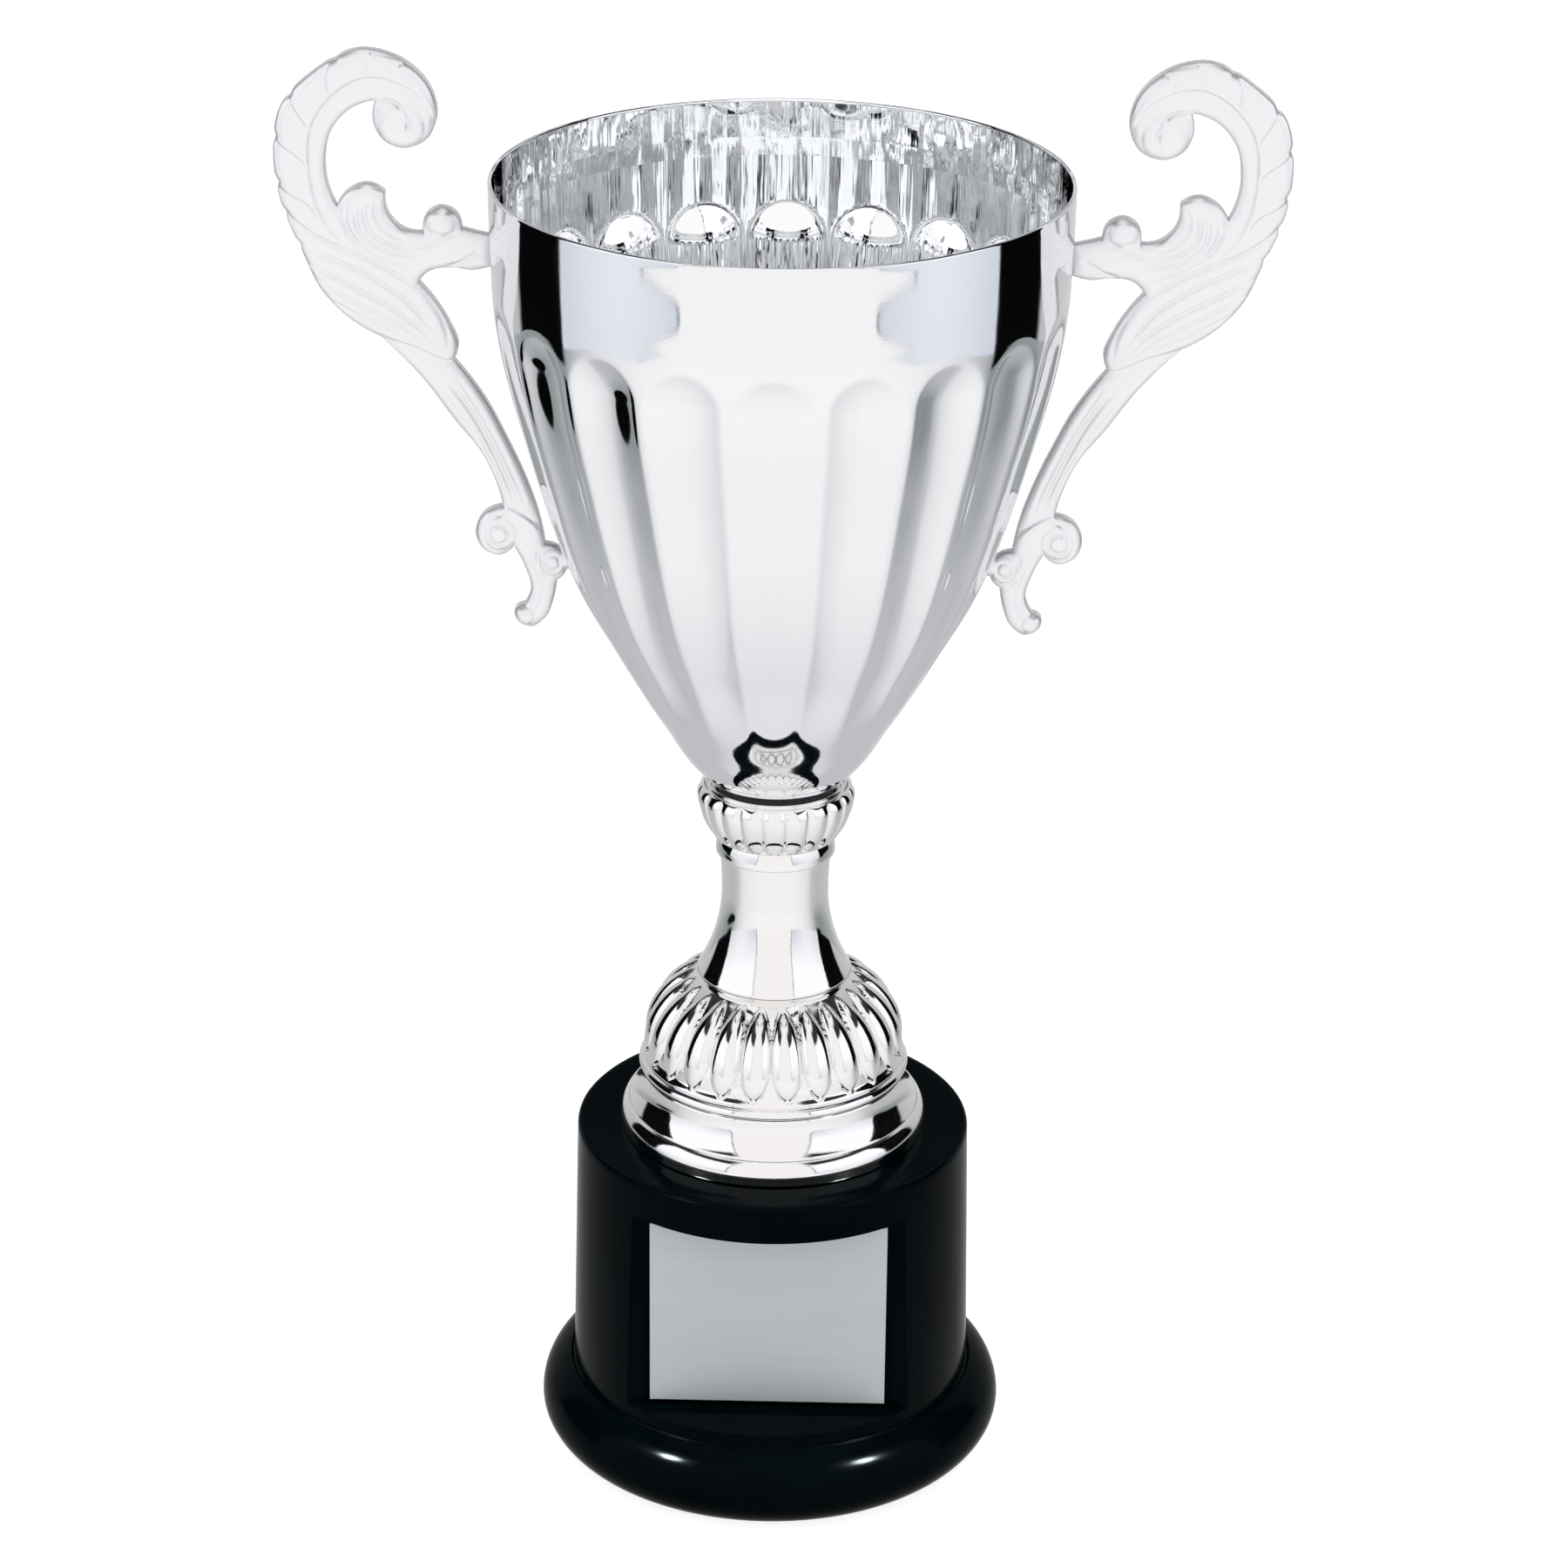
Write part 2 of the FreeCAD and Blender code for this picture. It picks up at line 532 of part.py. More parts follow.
def bowl_and_handles():
    blank, space = bowl_solids()
    screws, washers, holes, pilots = [], [], [], []
    for name, seat, outwards in screw_seats():
        turn = Rotation(Vector(0, 0, 1), outwards)
        head_seat = Placement(seat - outwards * SIZES["screw_washer_height"], turn)
        screw = turned(name + "_screw", [
            ("0", "0 - screw_head_height"),
            ("screw_head_radius - screw_head_curve", "0 - screw_head_height",
             "screw_head_curve"),
            ("screw_head_radius", "screw_head_curve - screw_head_height"),
            ("screw_head_radius", "0"),
            ("screw_radius", "0"),
            ("screw_radius", "screw_length"),
            ("0", "screw_length")])
        screw.Placement = head_seat
        screws.append(screw)
        washer = ring(name + "_washer", "screw_washer_radius", "screw_radius",
                      "screw_washer_height", "0")
        washer.Placement = head_seat
        washers.append(washer)
        pilots.append(aimed(name + "_pilot", "screw_radius", "screw_length", head_seat))
        holes.append(aimed(name + "_hole", "screw_bore", "boss_length",
                           Placement(seat - outwards, turn)))
        boss_place = Placement(seat, turn)
    holes += [mirrored(hole.Name + "_left", hole) for hole in holes]
    holes.append(cylinder("bowl_rod_hole", "rod_bore", "bowl_floor * 3", GASKET_BOTTOM))
    formed = pair("Cut", "bowl_formed", blank, space)
    keep(pair("Cut", "bowl_pierced", formed, fuse("bowl_holes", holes)), "bowl")

    rough = fuse("handle_joined", handle_layers()
                 + [aimed("lower_boss", "boss_radius", "boss_length", boss_place)])
    fitted = pair("Cut", "handle_fitted", rough, blank)
    half_drilled = pair("Cut", "handle_half_drilled", fitted, pilots[0])
    right = keep(pair("Cut", "handle_drilled", half_drilled, pilots[1]), "right_handle")
    keep(mirrored("handle_mirrored", right), "left_handle")
    for name, pieces in (("handle_screws", screws), ("handle_washers", washers)):
        left = [mirrored(item.Name + "_left", item) for item in pieces]
        keep(group(name + "_group", pieces + left), name)


def aimed(name, radius, height, place):
    """A cylinder whose foot and direction are those of place."""
    item = bind(doc.addObject("Part::Cylinder", name), Radius=radius, Height=height)
    item.Placement = place
    return item


def handle_layers():
    """The handle's outline as a slab, with raised round eyes in its scroll, bud and volute."""
    outline = doc.addObject("Part::Feature", "handle_outline")
    outline.Shape = handle_face()
    slab = doc.addObject("Part::Extrusion", "handle_slab")
    slab.Base = outline
    slab.DirMode = "Custom"
    slab.Dir = Vector(0, 1, 0)
    slab.Solid = True
    bind(slab, LengthFwd="handle_thickness / 2", LengthRev="handle_thickness / 2")
    layers = [slab]
    towards_back = Rotation(Vector(0, 0, 1), Vector(0, 1, 0))
    for name, (x, z) in EYE_CENTRES.items():
        front = Vector(x, -SIZES["eye_thickness"] / 2, z)
        layers.append(aimed(name, name + "_radius", "eye_thickness",
                            Placement(front, towards_back)))
    return layers


def handle_face():
    """The right handle's outline as a face in the XZ plane."""
    edges = []
    for run in HANDLE_OUTLINE:
        points = [Vector(x, 0, z) for x, z in run]
        if len(points) == 2:
            edges.append(Part.LineSegment(*points).toShape())
        else:
            curve = Part.BSplineCurve()
            curve.interpolate(points)
            edges.append(curve.toShape())
    return Part.Face(Part.Wire(edges))


# ---------------------------------------------------------------- the document

def check_and_export():
    """Stop on any failed object, then write each sub-part to its own file."""
    doc.recompute()
    for item in doc.Objects:
        if "Invalid" in item.State or "Error" in item.State:
            raise RuntimeError("%s failed: %s" % (item.Name, item.State))
    for item in nodes:
        if item.Shape.isNull() or not item.Shape.isValid() or not item.Shape.Solids:
            raise RuntimeError("%s has no valid solid" % item.Label)
    os.makedirs("parts", exist_ok=True)
    for item in nodes:
        item.Shape.exportStep("parts/%s.step" % item.Label)
        print("%-18s %d solid(s) %10.1f mm3" % (item.Label, len(item.Shape.Solids),
                                                item.Shape.Volume))


fill_sheet()
base_shell()
base_closing()
name_plate()
stem()
clamping()
bowl_and_handles()
check_and_export()
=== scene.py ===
"""Visual model of the cup trophy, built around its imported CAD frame.

Lengths are in millimetres until a mesh is made from them. The studio and the materials are in metres.
"""

import math

import bpy
import numpy as np
from mathutils import Matrix, Vector, geometry
from mathutils.kdtree import KDTree


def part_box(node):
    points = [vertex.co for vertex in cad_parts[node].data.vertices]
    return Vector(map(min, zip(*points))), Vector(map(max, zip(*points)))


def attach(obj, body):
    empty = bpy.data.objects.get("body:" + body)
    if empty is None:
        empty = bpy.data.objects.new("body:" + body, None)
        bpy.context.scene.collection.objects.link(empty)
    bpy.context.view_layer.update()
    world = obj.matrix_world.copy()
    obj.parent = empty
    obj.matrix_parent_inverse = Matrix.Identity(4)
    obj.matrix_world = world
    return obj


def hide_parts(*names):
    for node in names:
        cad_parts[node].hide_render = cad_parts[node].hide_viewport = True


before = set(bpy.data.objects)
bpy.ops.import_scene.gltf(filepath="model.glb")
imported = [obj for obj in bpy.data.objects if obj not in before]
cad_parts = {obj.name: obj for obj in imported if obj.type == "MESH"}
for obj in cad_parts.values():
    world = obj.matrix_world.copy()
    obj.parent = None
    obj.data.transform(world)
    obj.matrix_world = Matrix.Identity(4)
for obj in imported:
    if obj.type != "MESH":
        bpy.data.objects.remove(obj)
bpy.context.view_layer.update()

MM = 0.001
TURN = 2 * math.pi
FRONT = -math.pi / 2

ROD_BORE = 3.3
STEM_BORE = 5.5


def start_of(node):
    """The height where a CAD node begins."""
    return round(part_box(node)[0].z / MM, 2)


# Heights where one piece of the stack ends and the next begins.
BASE_TOP = start_of("stem_dome")
NECK_BOTTOM = start_of("stem_neck")
KNOB_BOTTOM = start_of("stem_knob")
BOWL_BOTTOM = start_of("bowl")
DOME_HEIGHT = round(NECK_BOTTOM - BASE_TOP, 2)
NECK_HEIGHT = round(KNOB_BOTTOM - NECK_BOTTOM, 2)
KNOB_HEIGHT = round(start_of("bowl_gasket") - KNOB_BOTTOM, 2)


# -------- shader helpers

class Nodes:
    """Adds nodes to one tree and links them."""

    def __init__(self, tree):
        self.tree = tree
        tree.nodes.clear()

    def add(self, kind, **settings):
        node = self.tree.nodes.new(kind)
        for name, value in settings.items():
            setattr(node, name, value)
        return node

    def link(self, source, target):
        self.tree.links.new(source, target)

    def feed(self, socket, value):
        """Set a socket to a constant, or link it to another node's output."""
        if isinstance(value, bpy.types.NodeSocket):
            self.link(value, socket)
        else:
            socket.default_value = value

    def math(self, operation, *values):
        node = self.add("ShaderNodeMath", operation=operation)
        for socket, value in zip(node.inputs, values):
            self.feed(socket, value)
        return node.outputs[0]

    def noise(self, vector, scale, detail=2.0, roughness=0.5):
        node = self.add("ShaderNodeTexNoise")
        self.link(vector, node.inputs["Vector"])
        node.inputs["Scale"].default_value = scale
        node.inputs["Detail"].default_value = detail
        node.inputs["Roughness"].default_value = roughness
        return node.outputs["Fac"]

    def spread(self, value, low, high, start=0.0, end=1.0):
        """Map a value from start..end to low..high."""
        node = self.add("ShaderNodeMapRange")
        for socket, number in zip(node.inputs[1:5], (start, end, low, high)):
            socket.default_value = number
        self.link(value, node.inputs[0])
        return node.outputs[0]

    def ramp(self, value, stops, kind="LINEAR"):
        node = self.add("ShaderNodeValToRGB")
        node.color_ramp.interpolation = kind
        elements = node.color_ramp.elements
        while len(elements) < len(stops):
            elements.new(0.5)
        for element, (place, colour) in zip(elements, stops):
            element.position = place
            element.color = (*colour, 1)
        self.link(value, node.inputs[0])
        return node.outputs[0]

    def scaled(self, vector, x, y, z):
        node = self.add("ShaderNodeVectorMath", operation="MULTIPLY")
        self.link(vector, node.inputs[0])
        node.inputs[1].default_value = (x, y, z)
        return node.outputs[0]

    def rise(self, value, start, end):
        """0 up to start and 1 from end on. End may be the lower one."""
        return self.spread(value, 0.0, 1.0, start, end)

    def fall(self, value, start, end):
        """1 up to start and 0 from end on."""
        return self.spread(value, 1.0, 0.0, start, end)

    def off(self, value, centre, reach):
        """How many reaches a value lies from a centre."""
        return self.math("DIVIDE", self.math("SUBTRACT", value, centre), reach)

    def squares(self, first, second):
        """The sum of two squares."""
        return self.math("ADD", self.math("MULTIPLY", first, first), self.math("MULTIPLY", second, second))

    def blend(self, factor, first, second):
        """The first colour where factor is 0, the second where it is 1."""
        node = self.add("ShaderNodeMix", data_type="RGBA")
        for number, value in ((0, factor), (6, first), (7, second)):
            self.feed(node.inputs[number], (*value, 1) if isinstance(value, tuple) else value)
        return node.outputs[2]

    def directions(self, vector):
        """Degrees away from the front, either way, degrees above the horizon, and x, y and z."""
        split = self.add("ShaderNodeSeparateXYZ")
        self.link(vector, split.inputs[0])
        x, y, z = split.outputs
        turn = self.math("ABSOLUTE", self.math("ARCTAN2", x, self.math("MULTIPLY", y, -1.0)))
        return self.math("DEGREES", turn), self.math("DEGREES", self.math("ARCSINE", z)), (x, y, z)

    def bump(self, height, strength, distance, normal=None):
        node = self.add("ShaderNodeBump")
        node.inputs["Strength"].default_value = strength
        node.inputs["Distance"].default_value = distance
        self.link(height, node.inputs["Height"])
        if normal is not None:
            self.link(normal, node.inputs["Normal"])
        return node.outputs[0]


def new_material(name):
    """A material with a Principled shader; returns it with its nodes, shader and object position."""
    material = bpy.data.materials.new(name)
    material.use_nodes = True
    nodes = Nodes(material.node_tree)
    shader = nodes.add("ShaderNodeBsdfPrincipled")
    output = nodes.add("ShaderNodeOutputMaterial")
    nodes.link(shader.outputs[0], output.inputs["Surface"])
    place = nodes.add("ShaderNodeTexCoord").outputs["Object"]
    return material, nodes, shader, place


CLOUD_SCALE = 90.0
CLOUD_RANGE = (0.35, 0.7)


def metal(name, colour, rough, cloudy, grain_scale, grain_depth, wave_depth=0.0, wave_scale=1.0,
          metallic=1.0):
    """Plated metal: a slight cloudiness in its roughness, a fine grain and long shallow waves."""
    material, nodes, shader, place = new_material(name)
    shader.inputs["Base Color"].default_value = (*colour, 1)
    shader.inputs["Metallic"].default_value = metallic
    cloud = nodes.noise(place, CLOUD_SCALE, 4.0)
    nodes.link(nodes.spread(cloud, rough, rough + cloudy, *CLOUD_RANGE), shader.inputs["Roughness"])
    normal = nodes.bump(nodes.noise(place, grain_scale, 3.0), 1.0, grain_depth)
    if wave_depth:
        normal = nodes.bump(nodes.noise(place, wave_scale, 1.0), 1.0, wave_depth, normal)
    nodes.link(normal, shader.inputs["Normal"])
    return material


RIPPLE_SCALE, RIPPLE_DEPTH = (560.0, 560.0, 24.0), 0.000045
DENT_SCALE, DENT_DEPTH = (190.0, 190.0, 150.0), 0.00042
DENTED = (0.2405, 0.2440)  # heights over which the dents come in


def inside_metal(name, colour):
    """Plated metal with the long ripples of pressed sheet, and dents in the plain band under the rim."""
    material, nodes, shader, place = new_material(name)
    shader.inputs["Base Color"].default_value = (*colour, 1)
    shader.inputs["Metallic"].default_value = 1.0
    cloud = nodes.noise(place, CLOUD_SCALE, 4.0)
    nodes.link(nodes.spread(cloud, 0.03, 0.05, *CLOUD_RANGE), shader.inputs["Roughness"])
    ripples = nodes.noise(nodes.scaled(place, *RIPPLE_SCALE), 1.0, 2.0)
    rippled = nodes.bump(ripples, 1.0, RIPPLE_DEPTH)
    split = nodes.add("ShaderNodeSeparateXYZ")
    nodes.link(place, split.inputs[0])
    dents = nodes.noise(nodes.scaled(place, *DENT_SCALE), 1.0, 0.0)
    dents = nodes.math("MULTIPLY", dents, nodes.rise(split.outputs[2], *DENTED))
    nodes.link(nodes.bump(dents, 1.0, DENT_DEPTH, rippled), shader.inputs["Normal"])
    return material


def gloss_black(name):
    """Polished black moulding with faint haze and the waviness of a moulded surface."""
    material, nodes, shader, place = new_material(name)
    cloud = nodes.noise(place, 60.0, 5.0)
    colour = nodes.ramp(cloud, [(0.3, (0.00005, 0.0002, 0.0003)), (0.7, (0.0001, 0.0004, 0.0005))])
    nodes.link(colour, shader.inputs["Base Color"])
    shader.inputs["IOR"].default_value = 1.45
    shader.inputs["Specular IOR Level"].default_value = 0.025
    nodes.link(nodes.spread(cloud, 0.10, 0.15, 0.3, 0.7), shader.inputs["Roughness"])
    shader.inputs["Specular Tint"].default_value = (0.80, 0.96, 1.0, 1)
    waves = nodes.noise(place, 30.0, 1.0)
    nodes.link(nodes.bump(waves, 1.0, 0.00008), shader.inputs["Normal"])
    return material


def brushed_plate(name):
    """Flat grey metal with fine level brushing."""
    material, nodes, shader, place = new_material(name)
    hairs = nodes.noise(nodes.scaled(place, 60.0, 200.0, 4000.0), 1.0, 6.0, 0.7)
    cloud = nodes.noise(nodes.scaled(place, 20.0, 40.0, 160.0), 1.0, 3.0)
    mixed = nodes.math("ADD", nodes.math("MULTIPLY", hairs, 0.6), nodes.math("MULTIPLY", cloud, 0.4))
    colour = nodes.ramp(mixed, [(0.35, (0.425, 0.458, 0.476)), (0.65, (0.465, 0.500, 0.518))])
    nodes.link(colour, shader.inputs["Base Color"])
    shader.inputs["Metallic"].default_value = 0.15
    shader.inputs["Specular IOR Level"].default_value = 0.15
    nodes.link(nodes.spread(hairs, 0.42, 0.6, 0.3, 0.7), shader.inputs["Roughness"])
    nodes.link(nodes.bump(hairs, 0.5, 0.00001), shader.inputs["Normal"])
    return material


def dull(name, dark, light, scale, rough, depth, sheen=0.0):
    """Felt, foam, rubber, bare casting or a matt moulding."""
    material, nodes, shader, place = new_material(name)
    fleck = nodes.noise(place, scale, 5.0, 0.65)
    nodes.link(nodes.ramp(fleck, [(0.3, dark), (0.7, light)]), shader.inputs["Base Color"])
    nodes.link(nodes.spread(fleck, rough - 0.06, rough + 0.04, 0.3, 0.7), shader.inputs["Roughness"])
    shader.inputs["Sheen Weight"].default_value = sheen
    nodes.link(nodes.bump(fleck, 1.0, depth), shader.inputs["Normal"])
    return material


CHROME = metal("bowl_chrome", (0.90, 0.905, 0.92), rough=0.035, cloudy=0.02,
               grain_scale=2500.0, grain_depth=0.000002, wave_depth=0.00003, wave_scale=35.0)
# A lighter copy of the bowl's chrome for its inside: its near-white colour is painted light that brightens
# the inside of the bowl.
LIT_INSIDE = inside_metal("bowl_chrome_inside_lit", (0.985, 0.99, 1.0))
STEM_METAL = metal("stem_metallised", (0.91, 0.90, 0.89), rough=0.05, cloudy=0.03,
                   grain_scale=1800.0, grain_depth=0.000004, wave_depth=0.00004, wave_scale=60.0)
SATIN = metal("handle_satin", (0.855, 0.85, 0.865), rough=0.30, cloudy=0.08,
              grain_scale=1500.0, grain_depth=0.000015, wave_depth=0.00003, wave_scale=90.0, metallic=0.75)
ZINC = metal("zinc_steel", (0.62, 0.62, 0.60), rough=0.22, cloudy=0.14,
             grain_scale=1200.0, grain_depth=0.00002)
BLACK = gloss_black("base_gloss_black")
PLATE = brushed_plate("plate_brushed")
FELT = dull("felt_black", (0.012, 0.013, 0.015), (0.035, 0.037, 0.040),
            scale=900.0, rough=0.95, depth=0.0003, sheen=0.4)
FOAM = dull("tape_foam", (0.42, 0.42, 0.40), (0.58, 0.58, 0.56), scale=1500.0, rough=0.8, depth=0.0001)
RUBBER = dull("gasket_rubber", (0.018,) * 3, (0.035,) * 3, scale=800.0, rough=0.7, depth=0.00005)
IRON = dull("weight_cast_iron", (0.06, 0.058, 0.055), (0.14, 0.13, 0.12),
            scale=500.0, rough=0.7, depth=0.0003)
MATT = dull("cover_matt_black", (0.02,) * 3, (0.035,) * 3, scale=1200.0, rough=0.6, depth=0.00004)


# -------- mesh helpers

def add_piece(name, points, faces, node, material, crease=40.0):
    """One closed mesh in place of a CAD node, from points in mm."""
    mesh = bpy.data.meshes.new(name)
    mesh.from_pydata((np.asarray(points) * MM).tolist(), [], faces)
    mesh.polygons.foreach_set("use_smooth", [True] * len(mesh.polygons))
    mesh.set_sharp_from_angle(angle=math.radians(crease))
    mesh.materials.append(material)
    piece = bpy.data.objects.new(name, mesh)
    bpy.context.scene.collection.objects.link(piece)
    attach(piece, "root")
    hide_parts(node)
    return piece


def ring_faces(rows, columns):
    """Quads of a grid that closes on itself both ways.

    Their normals face outwards for a profile that runs anticlockwise.
    """
    row, column = np.meshgrid(np.arange(rows), np.arange(columns), indexing="ij")
    below, ahead = (row + 1) % rows, (column + 1) % columns
    corners = (row * columns + column, row * columns + ahead,
               below * columns + ahead, below * columns + column)
    return np.stack(corners, -1).reshape(-1, 4).tolist()


def turned(profile, columns, shape=None):
    """Points of a closed (radius, height) profile turned round the axis. shape may change the radii."""
    profile = np.asarray(profile, float)
    angle = np.arange(columns) * TURN / columns + FRONT
    radius = np.repeat(profile[:, :1], columns, 1)
    height = np.repeat(profile[:, 1:], columns, 1)
    angle = np.broadcast_to(angle, radius.shape)
    if shape is not None:
        radius = shape(radius, angle, height)
    points = np.stack((radius * np.cos(angle), radius * np.sin(angle), height), -1)
    return points.reshape(-1, 3), ring_faces(*radius.shape)


def straight(start, end, step):
    """Points from start to just before end."""
    start, end = np.array(start, float), np.array(end, float)
    count = max(1, int(math.ceil(np.linalg.norm(end - start) / step)))
    return [tuple(start + (end - start) * i / count) for i in range(count)]


def arc(start, end, radius, step):
    """Points on an arc from start to just before end.

    A negative radius curves it to the left of the way it runs.
    """
    start, end = np.array(start, float), np.array(end, float)
    chord = end - start
    length = np.linalg.norm(chord)
    right = np.array([chord[1], -chord[0]]) / length
    drop = math.sqrt(max(radius * radius - length * length / 4, 0.0))
    centre = (start + end) / 2 - math.copysign(drop, radius) * right
    first = math.atan2(*(start - centre)[::-1])
    sweep = 2 * math.asin(min(1.0, length / 2 / abs(radius))) * math.copysign(1, radius)
    count = max(3, int(math.ceil(abs(sweep * radius) / step)))
    angles = first + sweep * np.arange(count) / count
    return [tuple(centre + abs(radius) * np.array([math.cos(a), math.sin(a)])) for a in angles]


def run(corners, step):
    """A closed profile through corners (radius, height[, arc radius of the run that ends there])."""
    points = []
    for start, end in zip(corners, corners[1:] + corners[:1]):
        if len(end) > 2 and end[2]:
            points += arc(start[:2], end[:2], end[2], step)
        else:
            points += straight(start[:2], end[:2], step)
    return points


def ease(value, start, end):
    """0 before start, 1 after end, smooth between."""
    part = np.clip((value - start) / (end - start), 0.0, 1.0)
    return part * part * (3 - 2 * part)


def fold(angle, count):
    """Where an angle lies across its sector: -1 to 1, 0 in the middle of the one at the front."""
    part = (angle - FRONT) * count / TURN
    return 2 * (part - np.round(part))


def hermite(ends, slopes, span, part):
    """A cubic between two values, with the slopes given at its ends."""
    one = part ** 2 * (3 - 2 * part)
    return (ends[0] * (1 - one) + ends[1] * one + slopes[0] * span * part * (1 - part) ** 2
            + slopes[1] * span * part ** 2 * (part - 1))


# -------- bowl

# The outside of the bowl above its bottom: (height, radius over the ridges between flutes).
BOWL_STATIONS = np.array([
    (0.0, 12.8), (5.0, 17.0), (11.0, 20.7), (19.0, 25.8), (27.0, 30.3), (35.0, 34.8),
    (43.0, 38.4), (51.0, 41.2), (59.0, 43.6), (67.0, 45.8), (75.0, 48.0), (83.0, 49.8),
    (91.0, 51.0), (99.0, 51.4), (106.6, 51.6), (114.2, 51.7)])
SHEET = 0.8
FLOOR = 1.2
FLUTES = 20
FLUTE_DEPTH = 1.9
FLUTE_GAUGE = 50.0  # the radius where a flute is FLUTE_DEPTH deep
FLUTE_WIDTH = 0.87  # the share of its sector that a flute takes
FLUTE_SPRING = 224.4  # the height where its ball end begins
FLUTE_END = (0.85, 1.5)  # where the ball end fades out, in half-widths
FLUTE_START = (150.0, 168.0)  # the heights over which the flutes begin
FLUTE_SOFTNESS = 0.10
FLUTE_COLUMNS = 24


def smooth_curve(stations, where):
    """A smooth curve through stations (height, radius), and its slope, at the heights asked for."""
    heights, radii = stations[:, 0], stations[:, 1]
    slopes = np.gradient(radii, heights)
    index = np.clip(np.searchsorted(heights, where) - 1, 0, len(heights) - 2)
    span = heights[index + 1] - heights[index]
    part = np.clip((where - heights[index]) / span, 0, 1)
    radius = hermite((radii[index], radii[index + 1]), (slopes[index], slopes[index + 1]), span, part)
    return radius, slopes[index] * (1 - part) + slopes[index + 1] * part


def fluted(radius, angle, height):
    """Hollow flutes between sharp ridges, with ball ends at the top."""
    half = TURN / FLUTES * radius / 2 * FLUTE_WIDTH
    across = fold(angle, FLUTES) / FLUTE_WIDTH
    above = np.maximum(height - FLUTE_SPRING, 0.0) / half
    inside = 1 - across ** 2 - above ** 2
    soft = (inside + np.sqrt(inside ** 2 + FLUTE_SOFTNESS ** 2)) / 2
    ends = (1 - ease(above, *FLUTE_END)) * ease(height, *FLUTE_START)
    return radius - FLUTE_DEPTH * radius / FLUTE_GAUGE * soft * ends


def bowl():
    """Up the outside, round the rim and down the inside, with the rows closest at the flutes' ball ends."""
    levels = np.concatenate((np.linspace(1.0, 78, 62), np.linspace(78.6, 98, 34), np.linspace(99, 113.6, 12)))
    outer, _ = smooth_curve(BOWL_STATIONS, levels)
    inner_levels = np.concatenate(([FLOOR + 0.8], levels[levels > FLOOR + 1.4]))
    ridge, slope = smooth_curve(BOWL_STATIONS, inner_levels)
    inner = ridge - SHEET * np.hypot(1, slope)
    profile = [(ROD_BORE, 0.0), (8.0, 0.0), (11.6, 0.0), (12.5, 0.15), (13.1, 0.5)]
    profile += list(zip(outer, levels))
    rim_height, rim_radius = BOWL_STATIONS[-1] - SHEET / 2
    for turn in np.linspace(0, math.pi, 9):
        profile.append((rim_radius + SHEET / 2 * math.cos(turn), rim_height + SHEET / 2 * math.sin(turn)))
    profile += list(zip(inner[::-1], inner_levels[::-1]))
    profile += [(inner[0] - 0.9, FLOOR + 0.2), (inner[0] - 1.8, FLOOR), (8.0, FLOOR), (ROD_BORE, FLOOR)]
    return turned(np.array(profile) + (0, BOWL_BOTTOM), FLUTES * FLUTE_COLUMNS, fluted)


points, faces = bowl()
piece = add_piece("bowl_shell", points, faces, "bowl", CHROME)
piece.data.materials.append(LIT_INSIDE)
for face in piece.data.polygons:
    outwards = face.normal.x * face.center.x + face.normal.y * face.center.y
    if outwards < 0 and face.center.z > (BOWL_BOTTOM + FLOOR) * MM:
        face.material_index = 1


# -------- stem

RIBS = 20
RIB_RELIEF = 0.85
RIB_FULLNESS = 0.985  # under 1, so that the ribs' sides aren't upright
RIB_START, RIB_END = (5.6, 6.9), (14.9, 15.7)
PETALS = 24
PETAL_RELIEF = 2.1
PETAL_FOOT, PETAL_TIP = 15.0, 30.1
PETAL_WIDEST = 0.52  # how far up a petal is widest


def knob_profile():
    corners = [
        (STEM_BORE, 0.0), (10.2, 0.0), (10.3, 1.7), (10.9, 2.0), (11.15, 2.4, 0.4), (10.75, 4.9, 9.0),
        (10.6, 5.3), (11.1, 5.55), (11.9, 6.3, 1.0), (14.65, 13.6, 12.6), (13.5, 15.7, 2.6),
        (13.0, 15.85), (13.0, 16.2, 0.25), (12.6, KNOB_HEIGHT, 0.4), (STEM_BORE, KNOB_HEIGHT)]
    return np.array(run(corners, 0.22)) + (0, KNOB_BOTTOM)


def ribbed(radius, angle, height):
    """Upright ribs round the knob's bead."""
    across = np.abs(fold(angle, RIBS))
    lobe = 1 - np.sqrt(np.maximum(1 - (across * RIB_FULLNESS) ** 2, 0))
    above = height - KNOB_BOTTOM
    outside = radius > 9
    return radius - RIB_RELIEF * lobe * ease(above, *RIB_START) * (1 - ease(above, *RIB_END)) * outside


def neck_profile():
    corners = [
        (STEM_BORE, 0.0), (14.1, 0.0), (14.45, 0.4, 0.4), (14.3, 0.8, 0.6), (10.0, 16.0, -33.0),
        (10.2, NECK_HEIGHT, -90.0), (STEM_BORE, NECK_HEIGHT)]
    return np.array(run(corners, 0.3)) + (0, NECK_BOTTOM)


def dome_profile():
    corners = [
        (STEM_BORE, 0.0), (28.7, 0.0), (29.0, 0.35, 0.35), (29.0, 1.4), (27.7, 4.6, 3.9), (27.3, 4.75),
        (27.25, 5.05), (24.9, 11.4, -9.0), (24.7, 11.75), (25.3, 12.25, 0.6), (25.3, 13.4, 1.0),
        (24.8, 13.9, 0.6), (24.6, 14.0), (24.8, PETAL_FOOT), (15.2, 31.0, 16.2),
        (14.2, DOME_HEIGHT, 0.9), (STEM_BORE, DOME_HEIGHT)]
    return np.array(run(corners, 0.22)) + (0, BASE_TOP)


